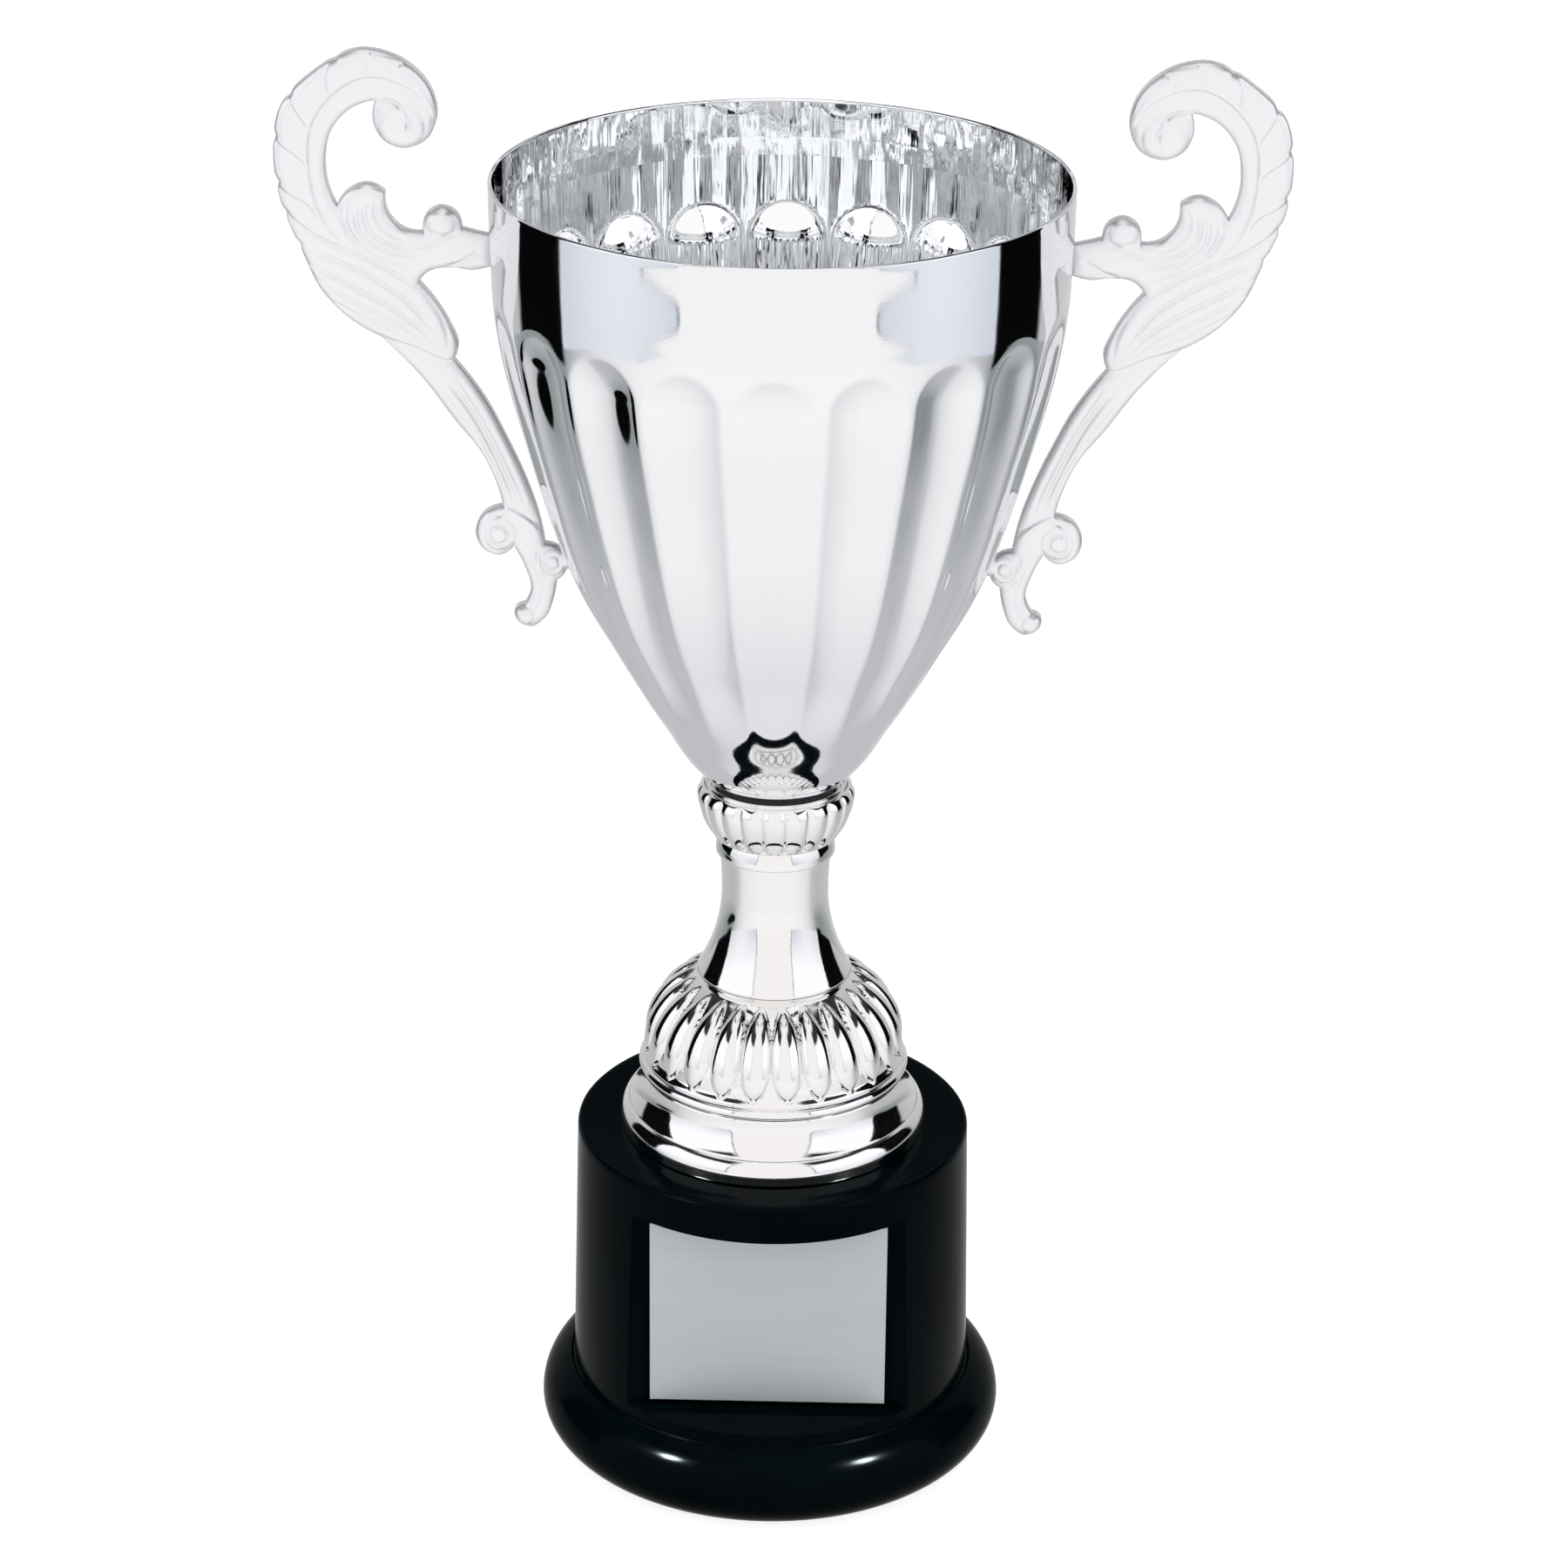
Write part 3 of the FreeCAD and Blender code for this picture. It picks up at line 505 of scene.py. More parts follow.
def petalled(radius, angle, height):
    """Raised almonds round the dome, pointed at both ends."""
    above = height - BASE_TOP
    outside = ease(radius, 14.4, 16.0) * (above > 14.2)
    along = np.clip((above - PETAL_FOOT) / (PETAL_TIP - PETAL_FOOT), 0, 1) - PETAL_WIDEST
    lower = 1 - np.minimum(along / PETAL_WIDEST, 0) ** 2
    upper = 1 - (np.maximum(along, 0) / (1 - PETAL_WIDEST)) ** 2.6
    width = np.maximum(np.where(along < 0, lower, upper), 0) ** np.where(along < 0, 0.66, 0.45)
    across = np.abs(fold(angle + TURN / PETALS / 2, PETALS))
    inside = np.maximum(1 - (across / np.maximum(width, 1e-3)) ** 2, 0) ** 0.5
    lift = inside * width ** 0.5
    sunk = ease(above, 14.4, 15.8)
    relief = PETAL_RELIEF * (0.5 + 0.5 * ease(along, -0.45, 0.05))
    return radius - outside * relief * np.maximum(sunk - lift, 0)


points, faces = turned(knob_profile(), RIBS * 24, ribbed)
add_piece("stem_knob_ribbed", points, faces, "stem_knob", STEM_METAL, 50)
points, faces = turned(neck_profile(), 240)
add_piece("stem_neck_turned", points, faces, "stem_neck", STEM_METAL)
points, faces = turned(dome_profile(), PETALS * 26, petalled)
add_piece("stem_dome_petalled", points, faces, "stem_dome", STEM_METAL, 55)


# -------- base

DRUM_RADIUS, DRUM_BOTTOM, DRUM_TAPER = 38.2, 15.2, 1.0
DRUM_COLUMNS, PANEL_COLUMNS = 290, 90
ROOF = 3.0
PANEL_BOTTOM, PANEL_TOP = 17.7, 58.5
PANEL_FRONT = 27.2  # how far the flat panel lies from the axis
PANEL_WALL = 2.6


def drum_radius(height):
    return DRUM_RADIUS - DRUM_TAPER * (height - DRUM_BOTTOM) / (BASE_TOP - DRUM_BOTTOM)


def base_shell():
    """Drum and foot in one, with the flat panel's edges on grid lines."""
    bottom, top, hair = PANEL_BOTTOM, PANEL_TOP, 0.01
    corners = [
        (34.6, 16.0), (38.4, 11.0), (38.4, 0.3), (38.45, 0.0), (38.8, 0.0), (44.4, 6.0, 6.4),
        (38.9, 14.7, 9.5), (38.5, 14.6), (38.2, 15.0), (drum_radius(bottom - hair), bottom - hair),
        (drum_radius(bottom), bottom), (drum_radius(top), top), (drum_radius(top + hair), top + hair),
        (37.2, 64.7), (36.3, BASE_TOP, 0.9), (ROD_BORE, BASE_TOP), (ROD_BORE, BASE_TOP - ROOF),
        (34.0, BASE_TOP - ROOF)]
    profile = np.array(run(corners, 0.8))
    radii, levels = profile[:, :1], profile[:, 1:]
    inside = (radii > 36) & (levels > bottom - hair / 2) & (levels < top + hair / 2)
    edge = np.arccos(PANEL_FRONT / drum_radius(np.clip(levels, bottom, top)))
    part = np.concatenate((np.linspace(-1, 1, PANEL_COLUMNS, endpoint=False),
                           np.linspace(1, 3, DRUM_COLUMNS, endpoint=False)))[None]
    turn = np.where(part <= 1, part * edge, edge + (part - 1) / 2 * (TURN - 2 * edge))
    x, y = radii * np.sin(turn), -radii * np.cos(turn)
    flat = inside & (part < 1)
    x = np.where(flat, PANEL_FRONT * np.tan(turn), x)
    y = np.where(flat, -PANEL_FRONT, y)
    inner_wall = (radii > 30) & (radii < 35) & (y < 0)
    y = np.where(inner_wall, np.maximum(y, PANEL_WALL - PANEL_FRONT), y)
    return np.stack((x, y, np.broadcast_to(levels, x.shape)), -1).reshape(-1, 3), ring_faces(*x.shape)


points, faces = base_shell()
add_piece("base_moulding", points, faces, "base_shell", BLACK, 25)


def name_plate():
    """A thin plate with a small bevel round its face."""
    low, high = (Vector(v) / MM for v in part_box("name_plate"))
    bevel = 0.14
    rings = [(high.y, 0.0), (low.y + bevel, 0.0), (low.y, bevel)]
    points = []
    for depth, inset in rings:
        for x, z in ((low.x + inset, low.z + inset), (high.x - inset, low.z + inset),
                     (high.x - inset, high.z - inset), (low.x + inset, high.z - inset)):
            points.append((x, depth, z))
    faces = [(3, 2, 1, 0), (8, 9, 10, 11)]
    for level in (0, 4):
        for side in range(4):
            following = (side + 1) % 4
            faces.append((level + side, level + following, level + 4 + following, level + 4 + side))
    return points, faces


points, faces = name_plate()
add_piece("name_plate_brushed", points, faces, "name_plate", PLATE, 20)


# -------- handles

# The right handle's outline in runs of (x, z) points that meet at its corners.
OUTLINE = [
    [(62.0, 257.8), (60.4, 261.6), (61.2, 266.2), (65.2, 271.0), (73.6, 273.5), (82.0, 269.3), (87.9, 263.0),
     (89.3, 255.5), (88.4, 246.5), (84.6, 236.4), (81.6, 229.8), (76.8, 224.6), (71.2, 221.2)],
    [(71.2, 221.2), (63.8, 213.4), (58.2, 205.6), (53.6, 199.6), (51.2, 194.4), (49.8, 189.3)],
    [(49.8, 189.3), (53.2, 188.0), (54.9, 184.4), (53.5, 181.0), (50.6, 179.9), (48.0, 181.6)],
    [(48.0, 181.6), (46.0, 177.6), (45.0, 173.4), (46.2, 170.4)],
    [(46.2, 170.4), (48.0, 169.2), (47.6, 167.2), (45.0, 166.0), (42.4, 167.8), (40.8, 171.6), (40.2, 175.2)],
    [(40.2, 175.2), (38.6, 176.8), (38.4, 179.6), (40.2, 181.6), (42.3, 182.2)],
    [(42.3, 182.2), (43.2, 187.0), (45.6, 194.4), (48.9, 202.0), (53.0, 210.0), (58.2, 217.0)],
    [(58.2, 217.0), (57.4, 219.4), (58.9, 223.8), (61.4, 228.0), (64.2, 231.4)],
    [(64.2, 231.4), (62.4, 233.4), (58.3, 234.2), (54.6, 233.8), (51.3, 234.6)],
    [(51.3, 234.6), (51.3, 240.2)],
    [(51.3, 240.2), (53.4, 240.6), (56.4, 241.4)],
    [(56.4, 241.4), (57.4, 244.2), (60.1, 245.3), (62.6, 244.0), (63.2, 240.6)],
    [(63.2, 240.6), (66.4, 241.0), (69.4, 244.0), (69.8, 247.8)],
    [(69.8, 247.8), (73.2, 249.3), (76.6, 247.8), (78.4, 245.2)],
    [(78.4, 245.2), (79.9, 249.2), (80.2, 253.8), (79.2, 258.4), (75.8, 262.6), (71.2, 264.4)],
    [(71.2, 264.4), (71.6, 260.6), (69.8, 257.2), (66.6, 255.9), (63.6, 256.6), (62.0, 257.8)]]

# Relief lines: (kind, height, width, points). A step is raised on the left of the way it runs.
RELIEF = [
    ("step", 0.55, 2.2, [(60.7, 261.0), (61.6, 263.6), (63.4, 265.6), (65.8, 267.3), (68.3, 268.4),
     (70.9, 268.9), (73.4, 268.6), (76.5, 267.2), (79.1, 265.0), (81.2, 262.4), (82.4, 259.8), (83.0, 256.8),
     (83.1, 253.6), (82.9, 250.7), (82.4, 247.5), (81.4, 244.4), (80.0, 241.6), (78.0, 239.2)]),
    ("groove", 0.5, 0.4, [(71.0, 264.2), (68.4, 264.6), (66.9, 263.8), (65.9, 262.1), (65.3, 260.7),
     (65.7, 259.0)]),
    ("step", 0.45, 1.8, [(67.7, 269.0), (66.9, 270.3), (66.0, 271.9)]),
    ("step", 0.45, 2.0, [(72.6, 268.8), (72.1, 270.8), (71.7, 273.4)]),
    ("step", 0.45, 2.4, [(79.0, 266.0), (79.6, 268.0), (79.2, 269.9), (78.0, 271.9)]),
    ("step", 0.45, 2.6, [(82.8, 259.6), (84.8, 262.2), (86.2, 265.0)]),
    ("step", 0.45, 2.6, [(83.2, 252.3), (84.3, 253.8), (86.5, 255.4), (89.2, 257.8)]),
    ("step", 0.45, 2.6, [(81.8, 243.3), (83.5, 245.8), (86.3, 247.4), (89.0, 249.5)]),
    ("step", 0.45, 2.4, [(78.7, 238.3), (81.9, 240.1), (84.4, 241.9), (87.4, 244.6)]),
    ("groove", 0.38, 0.42, [(84.8, 241.3), (79.3, 238.5), (74.2, 236.4), (69.6, 234.0), (66.6, 232.1),
     (64.4, 230.8)]),
    ("groove", 0.38, 0.42, [(84.4, 238.1), (79.4, 235.8), (74.3, 233.5), (69.7, 230.7), (66.2, 228.1),
     (63.6, 225.1), (61.1, 221.9)]),
    ("groove", 0.38, 0.42, [(83.8, 234.9), (79.0, 232.2), (73.4, 229.3), (68.8, 226.7), (64.4, 223.4),
     (61.6, 220.8)]),
    ("groove", 0.3, 0.38, [(82.2, 232.0), (77.0, 228.6), (71.9, 226.0), (67.3, 223.7), (63.2, 220.9)]),
    ("groove", 0.28, 0.38, [(79.4, 228.0), (75.0, 225.4), (70.4, 223.6), (66.8, 222.1)]),
    ("step", 0.7, 3.0, [(57.6, 216.9), (61.7, 218.3), (64.8, 219.7), (68.4, 220.9), (72.2, 222.0)]),
    ("groove", 0.3, 0.4, [(63.2, 229.4), (61.4, 227.0), (59.9, 224.0), (59.2, 221.4), (59.2, 219.2)]),
    ("groove", 0.45, 0.45, [(78.4, 245.8), (77.2, 242.6), (76.0, 240.0), (74.2, 238.0)]),
    ("groove", 0.36, 0.4, [(70.6, 247.2), (71.5, 245.4), (71.3, 243.3), (70.2, 241.4), (68.3, 240.0),
     (65.6, 239.4)]),
    ("groove", 0.4, 0.4, [(72.5, 246.8), (73.4, 245.1), (73.4, 242.9), (72.5, 240.8), (70.5, 239.2),
     (67.8, 238.2), (64.6, 238.0)]),
    ("groove", 0.4, 0.4, [(74.3, 246.4), (75.0, 243.8), (74.5, 241.0), (72.6, 238.7), (70.1, 237.4),
     (67.0, 236.8), (63.2, 236.9)]),
    ("groove", 0.3, 0.38, [(76.2, 246.2), (76.8, 243.4), (76.1, 240.9), (74.2, 238.6), (71.1, 236.6),
     (68.1, 235.2), (64.5, 234.2)]),
    ("groove", 0.32, 0.38, [(65.4, 238.4), (62.6, 238.6), (60.2, 239.4), (58.2, 240.4), (56.6, 240.9)]),
    ("groove", 0.35, 0.4, [(59.4, 234.8), (57.2, 235.2), (55.2, 236.4), (53.0, 237.6)]),
    ("groove", 0.3, 0.4, [(63.0, 240.6), (62.6, 241.2), (61.2, 240.9), (59.6, 240.5), (57.4, 241.2)]),
    ("groove", 0.55, 0.5, [(59.6, 213.6), (56.1, 208.9), (53.8, 205.1), (51.8, 201.0), (50.0, 196.9),
     (48.4, 193.0), (47.4, 189.6)]),
    ("groove", 0.32, 0.34, [(57.9, 214.4), (54.3, 208.6), (51.6, 203.6), (49.3, 198.8), (47.2, 193.9),
     (45.6, 189.6)]),
    ("groove", 0.26, 0.34, [(61.4, 212.9), (57.6, 208.2), (55.1, 204.4), (53.0, 200.4), (51.0, 196.2),
     (49.6, 192.0)]),
    ("step", 0.55, 2.0, [(50.2, 189.6), (47.4, 188.6), (44.9, 186.9), (43.0, 185.0)]),
    ("groove", 0.36, 0.4, [(48.9, 188.4), (51.4, 187.4), (52.9, 185.7), (53.2, 183.4), (52.2, 181.6),
     (50.4, 181.2), (48.9, 182.2)]),
    ("groove", 0.4, 0.38, [(43.4, 181.8), (43.5, 179.0), (42.9, 177.0), (41.4, 175.9)]),
    ("groove", 0.3, 0.4, [(45.9, 181.0), (44.0, 177.8), (43.3, 174.9), (43.6, 171.4), (45.4, 168.9)])]

# Round bosses in the relief: (x, z, radius, height), and rings cut into them: (x, z, radius).
EYES = [
    (66.6, 260.0, 4.0, 0.55), (50.9, 184.3, 3.5, 0.45), (60.1, 242.7, 2.6, 0.65), (40.9, 179.0, 2.4, 0.45),
    (46.1, 168.4, 1.7, 0.4)]
RINGS = [(50.6, 184.2, 1.75), (40.9, 179.0, 1.35)]
RING_DEPTH, RING_WIDTH = 0.4, 0.32

# Dips in the outline where the leaf's veins run out over its edge: (x, z, depth).
NOTCHES = [
    (78.2, 272.0, 0.3), (86.3, 265.2, 0.5), (89.3, 257.8, 0.5), (89.1, 249.4, 0.55), (87.6, 243.9, 0.45),
    (85.4, 238.0, 0.4)]
NOTCH_REACH = 1.7

LINE_STEP = 0.12  # spacing of the samples along a relief line
LINE_REACH = {"step": 3.2, "groove": 2.6}  # how many widths away a relief line still counts
STEP_EDGE = 0.16  # how far a step takes to rise
RELIEF_INSET = 0.55  # how far inside the outline the relief is full

SIDE_WALL = 0.85  # half-thickness at the outline
CROWN = 2.0  # half-thickness away from it
ROUNDING = 1.9  # how far in the edge is rounded
SWELL, SWELL_REACH = 0.30, 4.0  # what broad places add, and how far in

OUTLINE_STEP, FINE_STEP = 0.26, 0.05  # spacing along the outline, in the mesh and for measuring
INSETS = (0.10, 0.28, 0.55)  # outlines repeated inside the first one
LATTICE, LATTICE_INSET = 0.27, 0.75  # spacing of the points further in, and where they begin

# The round boss at a handle's lower screw, in x and z for the right handle.
BOSS_START, BOSS_WAY = (40.9, 178.6), (-4.5, 1.4)
BOSS_RADIUS, BOSS_LENGTH = 2.2, 4.2


def through(points, step):
    """A smooth curve through points, sampled about every step."""
    points = np.array(points, float)
    if len(points) == 2:
        count = int(np.linalg.norm(points[1] - points[0]) / step)
        return points[0] + (points[1] - points[0]) * np.linspace(0, 1, count + 1)[:, None]
    knots = np.concatenate(([0], np.cumsum(np.linalg.norm(np.diff(points, axis=0), axis=1))))
    tangents = np.gradient(points, knots, axis=0, edge_order=2)
    where = np.linspace(0, knots[-1], max(4, int(knots[-1] / step)) + 1)
    index = np.clip(np.searchsorted(knots, where) - 1, 0, len(knots) - 2)
    span = (knots[index + 1] - knots[index])[:, None]
    part = (where - knots[index])[:, None] / span
    return hermite((points[index], points[index + 1]), (tangents[index], tangents[index + 1]), span, part)


def tree_of(points):
    """A tree that finds the nearest point."""
    tree = KDTree(len(points))
    for number, (x, z) in enumerate(points):
        tree.insert((x, z, 0), number)
    tree.balance()
    return tree


def line_relief(places, kind, height, width, points):
    """The height that one relief line adds at each place."""
    line = through(points, LINE_STEP)
    ahead = np.gradient(line, axis=0)
    ahead /= np.linalg.norm(ahead, axis=1)[:, None]
    reach = LINE_REACH[kind] * width
    low, high = line.min(0) - reach, line.max(0) + reach
    near = np.flatnonzero(((places > low) & (places < high)).all(1))
    gap = places[near, None, :] - line[None]
    nearest = (gap ** 2).sum(2).argmin(1)
    gap = gap[np.arange(len(near)), nearest]
    ahead = ahead[nearest]
    side = ahead[:, 0] * gap[:, 1] - ahead[:, 1] * gap[:, 0]
    distance = np.linalg.norm(gap, axis=1)
    along = nearest / (len(line) - 1)
    taper = np.clip(np.minimum(along, 1 - along) * 5, 0, 1) ** 0.6
    added = np.zeros(len(places))
    if kind == "groove":
        added[near] = -height * np.exp(-(distance / width) ** 2) * np.maximum(taper, 0.15)
    else:
        edge = 0.5 + 0.5 * np.tanh(side / STEP_EDGE)
        fall = np.exp(-(distance / width) ** 1.5) * (0.35 + 0.65 * taper)
        added[near] = height * fall * (edge - 0.55)
    return added


def handle_heights(places, depths):
    """The handle's half-thickness at each place, from its depth inside the outline and the relief."""
    part = 1 - np.clip(depths / ROUNDING, 0, 1)
    shape = SIDE_WALL + (CROWN - SIDE_WALL) * np.sqrt(np.maximum(1 - part ** 2, 0))
    shape += SWELL * (1 - np.exp(-depths / SWELL_REACH))
    relief = np.zeros(len(places))
    for entry in RELIEF:
        relief += line_relief(places, *entry)
    for x, z, radius, height in EYES:
        off = np.hypot(places[:, 0] - x, places[:, 1] - z) / radius
        relief += height * np.sqrt(np.maximum(1 - off ** 2, 0))
    for x, z, radius in RINGS:
        off = np.hypot(places[:, 0] - x, places[:, 1] - z) - radius
        relief -= RING_DEPTH * np.exp(-(off / RING_WIDTH) ** 2)
    relief *= np.clip(depths / RELIEF_INSET, 0.05, 1)
    return np.maximum(shape + relief, SIDE_WALL * 0.8)


def notched_outline(step):
    """The handle's outline with its notches, and the direction inwards at each point."""
    outline = np.concatenate([through(part, step)[:-1] for part in OUTLINE])
    ahead = np.roll(outline, -1, 0) - np.roll(outline, 1, 0)
    ahead /= np.linalg.norm(ahead, axis=1)[:, None]
    inward = np.stack((ahead[:, 1], -ahead[:, 0]), -1)
    dip = np.zeros(len(outline))
    for x, z, depth in NOTCHES:
        near = np.maximum(1 - np.hypot(outline[:, 0] - x, outline[:, 1] - z) / NOTCH_REACH, 0)
        dip = np.maximum(dip, depth * near ** 1.5)
    return outline + inward * dip[:, None], inward


def handle_plan():
    """Points over the handle's outline, the triangles between them, and each point's depth inside it."""
    outline, inward = notched_outline(OUTLINE_STEP)
    tree = tree_of(notched_outline(FINE_STEP)[0])

    def depth(point):
        return tree.find((point[0], point[1], 0))[2]

    places = [outline]
    for inset in INSETS:
        moved = outline + inward * inset
        places.append(np.array([p for p in moved if depth(p) > 0.93 * inset]))
    low, high = outline.min(0), outline.max(0)
    rows = np.arange(low[1], high[1], LATTICE * math.sqrt(3) / 2)
    lattice = np.array([(x + (LATTICE / 2 if number % 2 else 0), z) for number, z in enumerate(rows)
                        for x in np.arange(low[0], high[0], LATTICE)])
    lattice = lattice[inside_of(outline, lattice)]
    places.append(np.array([p for p in lattice if depth(p) > LATTICE_INSET]))
    places = [Vector(p) for p in np.concatenate(places)]
    border = [(i, (i + 1) % len(outline)) for i in range(len(outline))]
    area = [list(range(len(outline)))]
    result = geometry.delaunay_2d_cdt(places, border, area, 1, 1e-6, True)
    places = np.array([tuple(p) for p in result[0]])
    depths = np.array([depth(p) for p in places])
    triangles = np.array([tuple(f) for f in result[2]])
    triangles = triangles[inside_of(outline, places[triangles].mean(1))]
    return places, triangles.tolist(), depths


def inside_of(outline, places):
    """Which places lie inside a closed outline."""
    inside = np.zeros(len(places), bool)
    following = np.roll(outline, -1, 0)
    for (x0, z0), (x1, z1) in zip(outline, following):
        if z0 == z1:
            continue
        crossed = (places[:, 1] > min(z0, z1)) & (places[:, 1] <= max(z0, z1))
        at = x0 + (places[:, 1] - z0) * (x1 - x0) / (z1 - z0)
        inside ^= crossed & (places[:, 0] < at)
    return inside


def handle_mesh():
    """The right handle: relief on its front and back, closed round the outline."""
    places, triangles, depths = handle_plan()
    heights = handle_heights(places, depths)
    count = len(places)
    front = np.stack((places[:, 0], -heights, places[:, 1]), -1)
    back = np.stack((places[:, 0], heights, places[:, 1]), -1)
    facing = []
    edges = {}  # a dict and not a set, because it keeps their order
    for a, b, c in triangles:
        first, second = places[b] - places[a], places[c] - places[a]
        if first[0] * second[1] - first[1] * second[0] < 0:
            b, c = c, b
        facing.append((a, b, c))
        edges.update(dict.fromkeys(((a, b), (b, c), (c, a))))
    faces = facing + [(c + count, b + count, a + count) for a, b, c in facing]
    faces += [(b, a, a + count, b + count) for a, b in edges if (b, a) not in edges]
    return np.concatenate((front, back)), faces


def boss_mesh(sign, columns=32):
    """A short round boss from a handle to the bowl's wall."""
    centre = Vector((sign * BOSS_START[0], 0, BOSS_START[1]))
    direction = Vector((sign * BOSS_WAY[0], 0, BOSS_WAY[1])).normalized()
    side = Vector((0, 1, 0))
    other = direction.cross(side)
    points = []
    for along in (0.0, BOSS_LENGTH):
        for number in range(columns):
            angle = TURN * number / columns
            spoke = BOSS_RADIUS * (math.cos(angle) * side + math.sin(angle) * other)
            points.append(centre + direction * along + spoke)
    faces = [tuple(range(columns))[::-1], tuple(range(columns, 2 * columns))]
    faces += [(i, (i + 1) % columns, columns + (i + 1) % columns, columns + i) for i in range(columns)]
    return np.array(points), faces


points, faces = handle_mesh()
for name, node, sign in (("handle_right_leaf", "right_handle", 1), ("handle_left_leaf", "left_handle", -1)):
    placed = points * (sign, 1, 1)
    order = faces if sign > 0 else [face[::-1] for face in faces]
    add_piece(name, placed, order, node, SATIN, 60)
    placed, order = boss_mesh(sign)
    add_piece(name.replace("leaf", "boss"), placed, order, node, SATIN)


# -------- CAD nodes that stay

KEPT = dict.fromkeys((
    "tie_rod", "bowl_nut", "bowl_lock_washer", "bowl_washer", "handle_screws", "handle_washers",
    "base_washer", "base_lock_washer", "base_nut", "cover_screws"), ZINC)
KEPT |= {"bowl_gasket": RUBBER, "plate_adhesive": FOAM, "base_weight": IRON, "base_cover": MATT,
         "felt_pad": FELT}
for node, material in KEPT.items():
    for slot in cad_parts[node].material_slots:
        slot.material = material


# -------- floor, light and camera

def plain_floor():
    """A pale floor that the polished metal doesn't reflect: it reflects the studio's table."""
    reach = 6.0
    corners = [(-reach, -reach, 0), (reach, -reach, 0), (reach, reach, 0), (-reach, reach, 0)]
    mesh = bpy.data.meshes.new("floor")
    mesh.from_pydata(corners, [], [(0, 1, 2, 3)])
    floor = bpy.data.objects.new("floor", mesh)
    material, nodes, shader, place = new_material("floor_white")
    paper = nodes.ramp(nodes.noise(place, 40.0, 4.0), [(0.0, (0.38,) * 3), (1.0, (0.40,) * 3)])
    nodes.link(paper, shader.inputs["Base Color"])
    shader.inputs["Roughness"].default_value = 1.0
    shader.inputs["Specular IOR Level"].default_value = 0.0
    shader.inputs["Emission Color"].default_value = (1, 1, 1, 1)
    shader.inputs["Emission Strength"].default_value = 0.85
    mesh.materials.append(material)
    bpy.context.scene.collection.objects.link(floor)
    floor.visible_glossy = False


# Colours of the studio.
WARM = (0.99, 0.975, 0.975)
BLUISH = (0.68, 0.72, 0.80)
BRIGHT = (0.90, 0.915, 0.96)
GLARE = (1.08, 1.10, 1.14)
LINE = (0.30, 0.33, 0.38)
DARK = (0.002, 0.002, 0.002)
GREY = (0.50, 0.505, 0.51)
PALE = (0.72, 0.725, 0.73)
DIM = (0.03, 0.035, 0.04)
CEILING = (0.97, 0.98, 1.0)
SCREEN = (0.21, 0.24, 0.26)

# The table's brightness by degrees away from the front: at its far edge, half-way, and close to the base,
# where it is lower as a painted shadow of the cup.
TABLE_FAR = [
    (0, 1.01), (35, 1.01), (45, 0.98), (55, 0.96), (65, 0.89), (75, 0.79), (85, 0.57), (93, 0.34),
    (103, 0.29), (115, 0.33), (127, 0.40), (136, 0.43), (147, 0.56), (165, 0.68), (180, 0.72)]
TABLE_MIDDLE = [
    (0, 0.98), (35, 0.97), (45, 0.95), (55, 0.915), (65, 0.88), (75, 0.80), (84, 0.60), (92, 0.55),
    (105, 0.52), (125, 0.55), (150, 0.57), (165, 0.68), (180, 0.70)]
TABLE_NEAR_SHADOWED = [(0, 0.83), (35, 0.83), (55, 0.80), (75, 0.75), (95, 0.69), (108, 0.58), (180, 0.56)]

# Distances over which one of those gives way to the next, and the radii of the table's mesh.
TO_FAR, TO_NEAR = (0.24, 0.36), (0.07, 0.20)
TABLE_RINGS = (0.03, 0.1, 0.3, 0.60)
TABLE_HEIGHT = -0.0005

# The table's dark end under the black gaps: its edges in degrees, and the distance where it begins.
TABLE_GAP, TABLE_GAP_END, TABLE_GAP_START = (91.0, 93.0), (100.0, 106.0), (0.49, 0.53)

# The dark round thing on the left of the table: (centre, half-size) in x and in y.
THING_X, THING_Y = (-0.387, 0.058), (0.056, 0.080)

# Edges in the studio: degrees from the front at the horizon, and how many more where LOW ends.
BOX_EDGE, GAP_EDGE, BACK_EDGE = (32.0, 7.0), (90.0, 5.5), (122.0, 3.0)
LOW = (0.0, -20.0)

# How far the soft box's edge swings outwards between two heights, by share of the way up.
BULGE = [
    (0.0, 1.0), (0.22, 1.0), (0.264, 0.55), (0.30, 0.12), (0.343, 0.0), (0.393, 0.0), (0.43, 0.12),
    (0.465, 0.4), (0.50, 0.75), (0.60, 0.8), (0.786, 0.0)]
BULGE_HEIGHTS, BULGE_SWING = (-26.0, -12.0), 22.0

# A soft box: (centre, half-size) in degrees across and up, and the heights over which it turns white.
BOX_ACROSS, BOX_UP, BOX_GLARE = (65.0, 30.0), (-5.0, 40.0), (-8.0, 12.0)

# What lies above the boxes, overhead, and at the back: a dim wall, a bright ceiling and a grey screen.
DIM_ACROSS, DIM_UP = (30.0, 37.0), (41.0, 45.0)
CEILING_UP = (60.0, 68.0)
BACK_ACROSS = (120.0, 180.0)
SCREEN_ACROSS, SCREEN_MIDDLE, SCREEN_HALF = (152.0, 164.0), 27.0, (7.0, 11.0)


def studio_grey(level):
    """A grey of the studio: neutral when bright, bluish in the middle, blue-green when dark."""
    middle, dark = ease(level, 0.95, 0.75), ease(level, 0.6, 0.3)
    return (level * (1 - 0.01 * middle - 0.08 * dark), level * (0.99 + 0.01 * dark),
            level * (1 + 0.02 * middle - 0.02 * dark))


